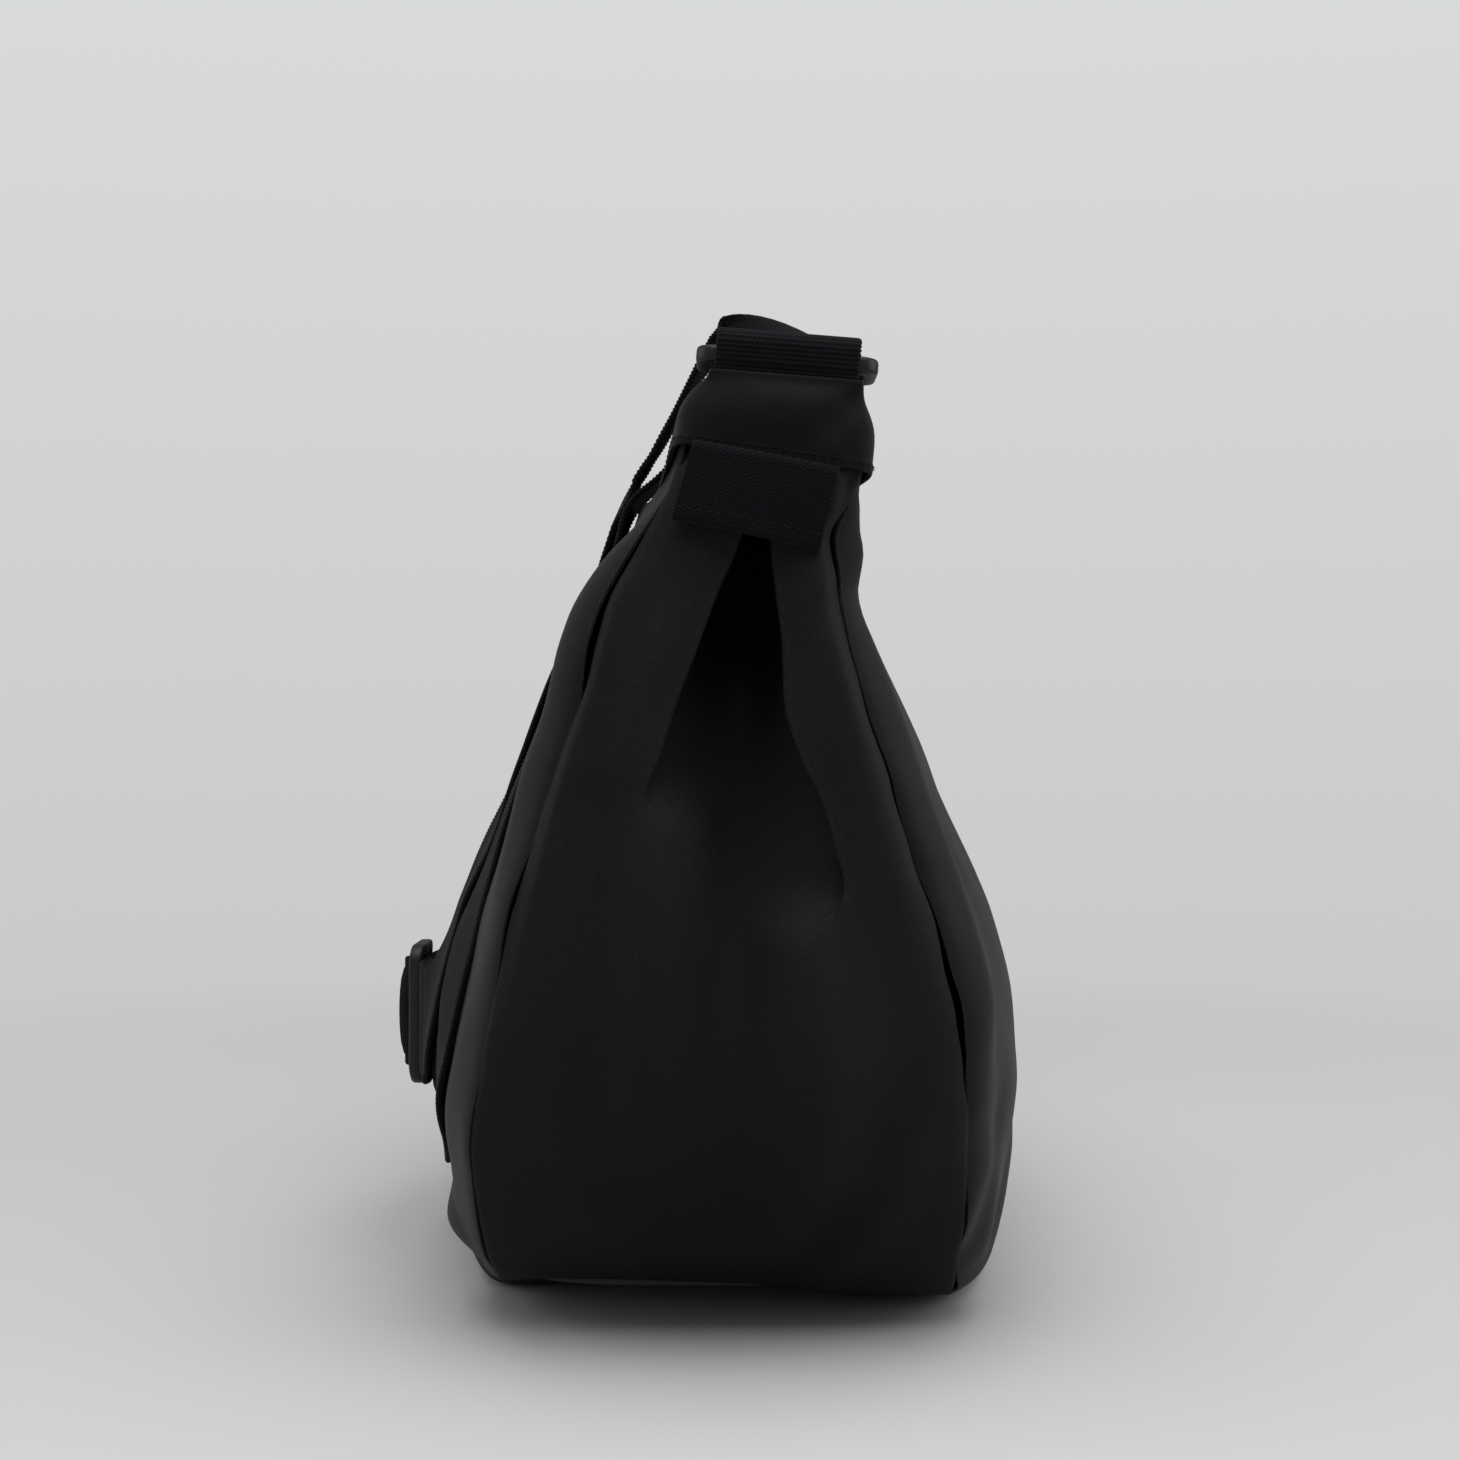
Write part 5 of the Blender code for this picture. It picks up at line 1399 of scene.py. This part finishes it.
def loopFrames(side):
    # The turn round the ring's inner bar, from its upper end to its lower end
    barX = -side * (hardware["window"] + hardware["bar"])
    r, reach, rise = strap["turnRadius"], strap["loopReach"], strap["loopRise"]
    points = [(barX - side * reach, r + rise),
              *arc(barX, r, 90, 270 if side < 0 else 320, 30, -side)]
    if side < 0:
        points.append((barX - side * reach, -r - strap["fit"]))
    else:
        slope = rise / reach
        drop = (webbing["thickness"] + strap["fit"]) * math.hypot(1.0, slope)
        for share in (strap["sewnShare"], 1.0):
            points.append((barX - side * reach * share, r + slope * reach * share - drop))
    return ringFrames(side, points)


def loopFace(side):
    return Matrix.Rotation(webbingPlace(side)[1], 3, "X") @ Vector((0.0, 0.0, 1.0))


def adjusterFrames(points):
    at = Vector(adjuster["place"])
    return [(at + Vector((x, y, 0.0)), Vector((0.0, 0.0, 1.0))) for x, y in points]


def cupped(middle, q):
    # Webbing over the bar follows the frame's bow, and its edges turn down
    at = Vector(adjuster["place"])
    high = smooth((q.y - at.y) / adjuster["cupFrom"])
    share = abs(q.z - at.z) / (webbing["width"] / 2)
    drop = adjuster["bow"] * share * share + adjuster["cupEdge"] * share ** 6
    return Vector((q.x, q.y - high * drop, q.z))


def cutRun(frames, mark):
    # The two parts of a run, cut at its frame nearest to a place
    lengths = measured(frames)
    nearest = min(range(len(frames)), key=lambda i: (frames[i][0] - Vector(mark)).length)
    at = lengths[nearest]
    return [[f[:2] for f in evenFrames(frames, 0.0008, first, last)]
            for first, last in ((0.0, at), (at, None))]


def wing(side, start, level):
    # From the end of a strap's layer to the bend beside the bar, rising evenly
    return [(side * (start + (adjuster["reach"] - start) * t),
             -level - strap["droop"] * t * t * (1.6 - 0.6 * t))
            for t in evenly(0.0, 1.0, 8)[::side]]


def makeStrap():
    back, lead = Vector((0.0, 1.0, 0.0)), Vector((strap["lead"], 0.0, 0.0))
    inner = strap["turnRadius"]
    outer = inner + webbing["thickness"] + strap["fit"]
    below = outer + strap["fit"]
    leftLoop, rightLoop = loopFrames(-1), loopFrames(1)
    near, far = (Vector(adjuster["place"]) + Vector((way * adjuster["reach"], 0, 0))
                 - strap["droop"] * back for way in (-1, 1))

    def leftRun(start, table, end, raised=False):
        stations = [(start + lead, loopFace(-1)), *stationsOf(table, raised),
                    (end - lead, back), (end, back)]
        return eased([(start, leftLoop[0][1]), *runFrames(stations)], strap["ease"])

    upper = leftRun(leftLoop[0][0], upperLayer, near - inner * back, True)
    lower = leftRun(leftLoop[-1][0], lowerLayer, near - below * back)
    stations = [(far - inner * back, back), (far - inner * back + lead, back),
                *stationsOf(singleRun), (rightLoop[0][0] - lead, loopFace(1))]
    single = eased(runFrames(stations) + [rightLoop[0]], strap["ease"])

    upper, upperRest = cutRun(upper, (-0.100, 0.083, 0.195))
    lower, lowerRest = cutRun(lower, (-0.140, 0.075, 0.150))
    single, singleRest = cutRun(single, (0.118, 0.09, 0.185))
    pieces = [
        # name, frames, body, from where on the bag, to where there, node
        ("strapAtLeftRing", upper[::-1] + leftLoop[1:-1] + lower, "ring_end_left",
         (-0.126, 0.0, 0.268), (-0.160, -0.012, 0.285), "strap_loop_left"),
        ("strapUpperLayer", upperRest, "glide",
         (-0.094, 0.10, 0.180), (-0.040, 0.105, 0.092), "strap_upper_layer"),
        ("strapLowerLayer", lowerRest, "glide",
         (-0.110, 0.10, 0.085), (-0.034, 0.106, 0.078), "strap_lower_layer"),
        ("strapSingleRun", single, "glide",
         (0.112, 0.10, 0.176), (0.058, 0.105, 0.094), "strap_single_run"),
        ("strapAtRightRing", singleRest + rightLoop[1:], "ring_end_right",
         (0.126, 0.0, 0.268), (0.160, -0.004, 0.285), "strap_loop_right"),
    ]
    for name, frames, other, start, end, node in pieces:
        piece = webbingPiece(name, frames, hugged)
        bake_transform(piece)
        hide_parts(node)

    bend = outer + strap["bend"]
    start = bend + 0.006
    over = [*wing(-1, start, inner), (-bend, -inner), *arc(0.0, outer, 180, 0, 24),
            (bend, -inner), *wing(1, start, inner)]
    place(webbingPiece("strapOverBar", adjusterFrames(over), cupped), "glide", "webbing",
          "strap_glide_pass")
    sewn = [*wing(-1, start, below), (-bend, -below), *arc(0.0, inner, -100, 150, 24)]
    place(webbingPiece("strapSewnEnd", adjusterFrames(sewn)), "glide", "webbing",
          "strap_sewn_end")


makeStrap()
print("strap ready")


# Grab tabs under the hoods

tab = {
    "halfWidth": 0.0192, "drop": 0.0206, "foldRadius": 0.0009, "cloth": 0.0012,
    "ribPitch": 0.00105, "ribHeight": 0.00014, "rowsPerRib": 4, "curve": 0.0011,
    "out": 0.0011, "stitchUp": 0.0032, "stitchIn": 0.0012, "stitchPitch": 0.0026,
    "shift": 0.0032, "shear": -0.07, "turn": 2.2, "hingeX": 0.2007, "hingeZ": 0.2476,
    "steps": 12, "sag": 0.0008, "sagWaves": 95, "sagStart": 0.6, "sagOut": 0.4,
    "sagDown": 0.3, "flare": 0.02, "belly": 0.0004, "top": 0.0005, "stitchOff": 0.0001,
}


def tabPoint(y, out, down):
    # A place on a tab: y across it, out from the bag, down from its hinge
    bow = tab["curve"] * (1 - (y / tab["halfWidth"]) ** 2)
    share = -down / tab["drop"]
    sag = tab["sag"] * share * share * math.sin(y * tab["sagWaves"] + tab["sagStart"])
    return Vector((tab["out"] + out + bow + tab["sagOut"] * sag,
                   y * (1 + tab["flare"] * share) + tab["shear"] * down + tab["shift"],
                   down + tab["sagDown"] * sag))


def makeTab(name, side, node, body):
    slope = hemSlope(webbingPlace(side)[1])
    slope += math.radians(tab["turn"]) * slope / math.radians(hood["slopeLeft"])
    x = side * tab["hingeX"]
    hinge = Vector((x, lean(x, bag["hornTop"]), tab["hingeZ"]))
    turn = (Matrix.Translation(hinge) @ Matrix.Rotation(slope, 4, "X")
            @ Matrix.Diagonal((side, 1.0, 1.0, 1.0)))
    r = tab["foldRadius"]
    drop = tab["drop"] - r
    shares = evenly(0.0, 1.0, tab["steps"])[1:]
    profile = [(2 * r, tab["top"]),
               *((2 * r + tab["belly"] * math.sin(math.pi * t), -drop * t) for t in shares),
               *((x, -drop - y) for x, y in arc(r, r, 0, 180, 6)[1:]),
               *((0.0, -drop * (1 - t)) for t in shares)]
    count = round(2 * tab["halfWidth"] * tab["rowsPerRib"] / tab["ribPitch"])
    rows, along = [], []
    for y in evenly(-tab["halfWidth"], tab["halfWidth"], count):
        rows.append([turn @ tabPoint(y, out, down) for out, down in profile][::-side])
        along += [y] * len(profile)
    mesh = layMesh(name, rows)
    setNumbers(mesh, "along", along)
    piece = thicken(newPiece(name, mesh, None), tab["cloth"], offset=0.0)
    grow(piece, "ribs", ribPitch=tab["ribPitch"], ribHeight=tab["ribHeight"],
         material=finishes["webbing"])
    place(piece, body, "webbing", node)
    out = 2 * r + tab["cloth"] / 2 + tab["stitchOff"]
    half = tab["halfWidth"] - tab["stitchIn"]
    line = [(turn @ tabPoint(y, out, tab["stitchUp"] - tab["drop"]), (side, 0.0, 0.0))
            for y in evenly(-half, half, 24)]
    sew(name + "Stitches", [line], body, tab["stitchPitch"])


makeTab("grabTabLeft", -1, "grab_tab_left", "tab_left")
makeTab("grabTabRight", 1, "grab_tab_right", "tab_right")
print("grab tabs ready")


# Zipped band along the top

band = {
    "lipHalf": 0.1193, "slotHalf": 0.0075, "outer": 0.0247, "cloth": 0.0010,
    "dip": 0.0022, "puff": 0.0007, "roll": 0.0006, "foldUnder": 0.0045, "ripple": 0.0004,
    "tapeOuter": 0.013, "tapeInner": 0.0031, "tape": 0.0006, "tapeTop": 0.2381,
    "stitchIn": 0.0022, "endStart": 0.1195, "endInset": 0.0009, "slotEnd": 0.1385,
    "seamX": 0.143, "tapeStart": 0.1196, "tapeStop": 0.1500, "underHorn": 0.0022,
    "hornFrom": 0.160, "hornSoft": 0.012, "shutSoft": 0.003, "stitchTop": 0.0002,
    "across": 14, "dipShare": 14, "foldRise": 0.2, "foldDrop": 0.0003, "foldEnd": 0.0017,
    "columns": 120, "rippleScale": 45, "tapeFall": 0.0005, "tapeSteps": 6,
    "lipStitchTop": 0.24085, "secondRow": 2.2, "endColumns": 44, "endFold": 0.05,
    "seamHalf": 9, "endTapeDrop": 0.0002, "endTapeHalf": 13, "endTapeColumns": 16,
}
chain = {"pitch": 0.0016, "barLength": 0.0026, "barRadius": 0.00052, "headRadius": 0.00078}
chainPlace = {"high": 0.2386, "gap": 0.00025, "half": 0.1190, "endStart": 0.1200,
              "endStop": 0.1354, "stopX": 0.13665}
stopBlock = {"size": (0.0025, 0.0066, 0.0026), "edge": 0.0006}


def lipSection():
    # (y, z) from the panel's edge to the folded edge beside the zip
    inner, top, roll = band["slotHalf"], bag["height"], band["roll"]
    line = []
    for t in evenly(0.0, 1.0, band["across"]):
        puff = band["puff"] * math.sin(math.pi * min(1.0, t * 1.02))
        line.append((band["outer"] + (inner + roll - band["outer"]) * t,
                     top + puff - band["dip"] * math.exp(-t * band["dipShare"])))
    line += [(inner + x, top - roll + band["foldRise"] * z - band["foldDrop"] * i)
             for i, (x, z) in enumerate(arc(0.0, roll, 0, 180, 4)) if i]
    return line + [(inner + band["foldUnder"], top - band["foldEnd"])]


def toothLine(face, first, last):
    return [(Vector((x, face * chainPlace["gap"], chainPlace["high"])), (0.0, -face, 0.0))
            for x in (first, last)]


def growTeeth(name, lines):
    return grow(lineObject(name, lines), "teeth", **chain, material=finishes["teeth"])


def makeLip(tag, face):
    body = "lip_" + tag.lower()
    xs = evenly(-band["lipHalf"], band["lipHalf"], band["columns"])
    rows = []
    for x in xs:
        spot = Vector((x * band["rippleScale"], face * 3.0, 0.0))
        wave = band["ripple"] * noise.noise(spot)
        rows.append([Vector((x, face * y, z + wave)) for y, z in lipSection()][::-face])
    name = "topStrip" + tag
    piece = clothPiece(name, layMesh(name, rows), "nylon", band["cloth"], 0.1)
    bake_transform(piece)
    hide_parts("top_strip_" + tag.lower())
    name = "zipTape" + tag
    inner, outer, top = band["tapeInner"], band["tapeOuter"], band["tapeTop"]
    rows = [[Vector((x, face * (inner + (outer - inner) * t), top - band["tapeFall"] * t))
             for t in evenly(0.0, 1.0, band["tapeSteps"])][::-face] for x in xs]
    piece = clothPiece(name, layMesh(name, rows), "tape", band["tape"])
    place(piece, body, "zipper", "zipper_tape_" + tag.lower())
    half, pitch = chainPlace["half"], chain["pitch"]
    offset = pitch / 2 if face > 0 else 0.0
    line = toothLine(face, offset - half, half - pitch / 2 + offset)
    place(growTeeth("zipTeeth" + tag, [line]), body, "zipper", "zipper_chain_" + tag.lower())
    ys = [face * (band["slotHalf"] + band["stitchIn"] * row)
          for row in (1.0, band["secondRow"])]
    lines = [[(Vector((x, y, band["lipStitchTop"])), (0.0, 0.0, 1.0)) for x in xs]
             for y in ys]
    sew("stripStitches" + tag, lines, body)


def makeBandEnd(name, side, node):
    # Both halves of the cloth past a lip, which meet beyond the slot
    xs = evenly(band["endStart"], bag["halfLength"] - band["endInset"], band["endColumns"])
    high = bag["height"] + band["stitchTop"]
    lines, bm = [], bmesh.new()
    for face in (-1, 1):
        rows = []
        for x in xs:
            top, shut = topZ(x), smooth((x - band["slotEnd"]) / band["shutSoft"])
            inner = band["slotHalf"] * (1 - shut)
            under = band["underHorn"] * smooth((x - band["hornFrom"]) / band["hornSoft"])
            row = []
            for t in evenly(0.0, 1.0, band["across"]):
                y = band["outer"] + (inner - band["outer"]) * t - under * (1 - t)
                dip = band["dip"] * math.exp(-t * band["dipShare"])
                dip += band["roll"] * smooth(1 - (1 - t) / band["endFold"]) * (1 - shut)
                row.append(Vector((side * x, face * y + lean(side * x, top), top - dip)))
            rows.append(row[::face * side])
        mesh = layMesh(name, rows)
        bm.from_mesh(mesh)
        bpy.data.meshes.remove(mesh)
        y = face * (band["slotHalf"] + band["stitchIn"])
        lines.append([(Vector((side * x, y, high)), (0.0, 0.0, 1.0))
                      for x in xs if x < band["seamX"]])
    lines.append([(Vector((side * band["seamX"], y / 1000, high)), (0.0, 0.0, 1.0))
                  for y in range(-band["seamHalf"], band["seamHalf"] + 1)])
    bmesh.ops.remove_doubles(bm, verts=bm.verts[:], dist=1e-5)
    mesh = bpy.data.meshes.new(name)
    bm.to_mesh(mesh)
    bm.free()
    place(clothPiece(name, mesh, "nylon", band["cloth"], 0.05), "bag", "nylon", node)
    return lines


def makeZipEnd(tag, side):
    xs = evenly(band["tapeStart"], band["tapeStop"], band["endTapeColumns"])
    half, z = band["endTapeHalf"], band["tapeTop"] - band["endTapeDrop"]
    rows = [[Vector((side * x, y / 1000, z)) for y in range(half, -half - 1, -2)]
            for x in xs][::-side]
    name = "zipTapeEnd" + tag
    piece = clothPiece(name, layMesh(name, rows), "tape", band["tape"])
    place(piece, "bag", "zipper", "zipper_tape_end_" + tag.lower())
    starts = {face: chainPlace["endStart"] + (chain["pitch"] / 2 if face > 0 else 0.0)
              for face in (-1, 1)}
    piece = growTeeth("zipTeethEnd" + tag, [
        toothLine(face, side * start, side * chainPlace["endStop"])
        for face, start in starts.items()])
    mesh = piece.data
    slot = mesh.polygons[0].material_index
    stop = bmesh.new()
    bmesh.ops.create_cube(stop, size=1.0)
    bmesh.ops.scale(stop, vec=stopBlock["size"], verts=stop.verts)
    bmesh.ops.translate(stop, vec=(side * chainPlace["stopX"], 0.0, chainPlace["high"]),
                        verts=stop.verts)
    bmesh.ops.bevel(stop, geom=stop.edges[:], offset=stopBlock["edge"], segments=3,
                    affect="EDGES", profile=0.5)
    stop.from_mesh(mesh)
    for face in stop.faces:
        face.smooth, face.material_index = True, slot
    stop.to_mesh(mesh)
    stop.free()
    place(piece, "bag", "zipper", "zipper_stop_" + tag.lower())


makeLip("Front", -1)
makeLip("Back", 1)
bandLines = makeBandEnd("bandEndLeft", -1, "band_end_left")
bandLines += makeBandEnd("bandEndRight", 1, "band_end_right")
sew("bandEndStitches", bandLines, "bag")
makeZipEnd("Left", -1)
makeZipEnd("Right", 1)
print("zipped band ready")


# Zip slider and puller

slider = {
    "x": -0.128, "half": 0.007, "wideFront": 0.0050, "wideBack": 0.0036,
    "plates": ((0.2396, 0.2410), (0.2345, 0.2359)), "inset": 0.0005,
    "bailBase": 0.2406, "bailHigh": 0.0036, "bailRadius": 0.00055, "bailWide": 0.0011,
    "bailHalf": 0.0034, "postIn": 0.0056, "post": (0.2350, 0.2378, 0.2405),
    "postRadius": 0.0012, "postWide": 0.0004, "bluntness": 8, "leastShare": 0.05,
    "bailSquareness": 0.6, "sharpFrom": 40,
}
puller = {
    "axis": (-0.1292, 0.0, 0.2423), "length": 0.0245, "past": 0.0008, "thick": 0.0012,
    "edge": 0.0003, "waist": 0.0030, "grip": 0.0013, "least": 0.0004,
    "eyeX": -0.0028, "eyeHalfX": 0.0018, "eyeHalfY": 0.0016, "gripAt": (0.15, 0.5),
    "roundStart": 0.08, "roundEnd": 0.12, "bluntness": 2.2, "bevelScale": 0.004,
    "sharpFrom": 35,
}


def bridge(bm, rings):
    for low, high in zip(rings, rings[1:]):
        for i in range(len(low)):
            j = (i + 1) % len(low)
            bm.faces.new((low[i], low[j], high[j], high[i]))


def addRings(bm, rings):
    # A closed skin over rings of points
    made = [[bm.verts.new(p) for p in ring] for ring in rings]
    bridge(bm, made)
    bm.faces.new(made[0])
    bm.faces.new(made[-1])


def bevelled(z0, z1, inset):
    return (z0, inset), (z0 + inset, 0.0), (z1 - inset, 0.0), (z1, inset)


def mirrored(outline):
    return outline + [(x, -y) for x, y in reversed(outline)]


def tubeInto(bm, points, radius, wide):
    # An oval bar through points that lie in the upright plane along the bag
    across = Vector((0.0, 1.0, 0.0))
    rings = []
    for i, point in enumerate(points):
        a, b = points[max(0, i - 1)], points[min(len(points) - 1, i + 1)]
        out = (b - a).cross(across).normalized()
        rings.append([point + out * x * radius + across * y * wide
                      for x, y in arc(0.0, 1.0, 0, 324, 9)])
    addRings(bm, rings)


def metalPiece(name, bm, angle, body, node):
    bmesh.ops.recalc_face_normals(bm, faces=bm.faces[:])
    for face in bm.faces:
        face.smooth = True
    mesh = bpy.data.meshes.new(name)
    bm.to_mesh(mesh)
    bm.free()
    mesh.set_sharp_from_angle(angle=math.radians(angle))
    place(newPiece(name, mesh, "metal"), body, "metal", node)


def makeSlider():
    # Two waisted plates, the post between them and the bail on top
    outline = []
    for t in evenly(0.0, 1.0, 16):
        wide = slider["wideBack"] + (slider["wideFront"] - slider["wideBack"]) * smooth(t)
        outline.append((slider["half"] * (2 * t - 1),
                        wide * math.sqrt(max(slider["leastShare"],
                                             1 - (2 * t - 1) ** slider["bluntness"]))))
    bm = bmesh.new()
    for z0, z1 in slider["plates"]:
        rings = []
        for z, pull in bevelled(z0, z1, slider["inset"]):
            rings.append([(slider["x"] + x * share, y * share, z) for x, y, share in (
                (x, y, 1 - pull / math.hypot(x, y)) for x, y in mirrored(outline))])
        addRings(bm, rings)
    arch = []
    for x, y in arc(0.0, slider["bailHalf"], 0, 180, 16):
        rise = (max(0.0, y) / slider["bailHalf"]) ** slider["bailSquareness"]
        arch.append(Vector((slider["x"] - x, 0.0,
                            slider["bailBase"] + slider["bailHigh"] * rise)))
    tubeInto(bm, arch, slider["bailRadius"], slider["bailWide"])
    post = [Vector((slider["x"] + slider["postIn"], 0.0, z)) for z in slider["post"]]
    tubeInto(bm, post, slider["postRadius"], slider["postWide"])
    metalPiece("zipSlider", bm, slider["sharpFrom"], "slider", "zipper_slider")


def makePuller():
    # A flat puller with an eye, a waist and a rounded grip
    axis, length, half = Vector(puller["axis"]), puller["length"], puller["thick"] / 2
    gripFrom, gripSoft = puller["gripAt"]
    outline = []
    for t in evenly(0.0, 1.0, 40):
        wide = puller["waist"] + puller["grip"] * smooth((t - gripFrom) / gripSoft)
        for end in (1 - (1 - t) / puller["roundEnd"], 1 - t / puller["roundStart"]):
            wide *= math.sqrt(max(0.0, 1 - max(0.0, end) ** puller["bluntness"]))
        outline.append((puller["past"] - (length + puller["past"]) * t,
                        max(wide, puller["least"])))
    eye = [(puller["eyeX"] + puller["eyeHalfX"] * x, puller["eyeHalfY"] * y)
           for x, y in arc(0.0, 1.0, 0, 345, 23)]
    bm = bmesh.new()
    rims, holes = [], []
    for z, pull in bevelled(-half, half, puller["edge"]):
        rims.append([bm.verts.new(axis + Vector((
            x + (pull if x < -0.5 * length else -pull),
            y * (1 - pull / puller["bevelScale"]), z)))
            for x, y in mirrored(outline)])
        holes.append([bm.verts.new(axis + Vector((
            x, y * (1 + pull / puller["bevelScale"]), z))) for x, y in eye])
    bridge(bm, rims)
    bridge(bm, holes)
    for end in (0, -1):
        edges = [bm.edges.get((loop[i - 1], loop[i]))
                 for loop in (rims[end], holes[end]) for i in range(len(loop))]
        bmesh.ops.triangle_fill(bm, use_beauty=True, edges=edges)
    metalPiece("zipPuller", bm, puller["sharpFrom"], "pull", "zipper_pull")


makeSlider()
makePuller()
print("slider and puller ready")


# Lining and inner pocket

inside = {
    "sides": 120, "rows": 44, "cloth": 0.0007, "gap": 0.0032, "endGap": 0.0115,
    "floor": 0.0050, "rim": 0.231, "squareness": 0.42, "pleatDepth": 0.026,
    "fabric": 0.0016, "pocketHalf": 0.075, "pocketLow": 0.072, "pocketHigh": 0.168,
    "pocketOff": 0.0022, "pocketSwell": 0.003, "pocketRows": 24, "pocketColumns": 40,
    "stitchLift": 0.0002, "floorShares": (0.02, 0.35, 0.7), "rowSpread": 1.4,
}


def liningPoint(angle, z):
    share = readTable(pleatTable, z / bag["height"])
    alongShare, acrossShare = squircle(angle, inside["squareness"])
    x = (endX(z) - inside["endGap"] - inside["pleatDepth"] * share) * alongShare
    y = (halfDepth(x, z) - inside["fabric"] - inside["gap"]) * acrossShare
    return Vector((x, y + lean(x, z), z))


def makeLining():
    sides, floor = inside["sides"], inside["floor"]
    rows = []
    for share in evenly(0.0, 1.0, inside["rows"]):
        z = floor + (inside["rim"] - floor) * share ** inside["rowSpread"]
        rows.append([liningPoint(2 * math.pi * i / sides, z) for i in range(sides)])
    floorRows = [[Vector((p.x * share, p.y * share, floor)) for p in rows[0]]
                 for share in inside["floorShares"]]

    def closeFloor(bm):
        bm.faces.new([bm.verts[i] for i in range(sides)][::-1])
        bm.normal_update()

    mesh = edited(layMesh("liningCloth", floorRows + rows, round=True), closeFloor,
                  outwards=False)
    piece = clothPiece("liningCloth", mesh, "lining", inside["cloth"])
    place(piece, "bag", "lining", "lining")


def pocketY(x, z):
    # Where the lining's back wall lies, found by halving the angle
    low, high = (math.pi / 2, math.pi) if x < 0 else (0.0, math.pi / 2)
    for _ in range(24):
        middle = (low + high) / 2
        if liningPoint(middle, z).x > x:
            low = middle
        else:
            high = middle
    return liningPoint((low + high) / 2, z).y


def makePocket():
    half, low, high = inside["pocketHalf"], inside["pocketLow"], inside["pocketHigh"]
    rows = []
    for share in evenly(0.0, 1.0, inside["pocketRows"]):
        z = low + (high - low) * share
        row = []
        for x in evenly(-half, half, inside["pocketColumns"]):
            swell = inside["pocketSwell"] * smooth(share) * (1 - (x / half) ** 2)
            row.append(Vector((x, pocketY(x, z) - inside["pocketOff"] - swell, z)))
        rows.append(row)
    piece = clothPiece("pocketCloth", layMesh("pocketCloth", rows), "lining", inside["cloth"])
    place(piece, "bag", "lining", "inner_pocket")
    lift = Vector((0.0, -inside["stitchLift"], 0.0))
    edges = [rows[-3], [row[1] for row in rows], [row[-2] for row in rows]]
    sew("pocketStitches", [[(p + lift, (0.0, -1.0, 0.0)) for p in line] for line in edges],
        "bag")


makeLining()
makePocket()
print("lining and pocket ready")


# The end

print("pieces done")
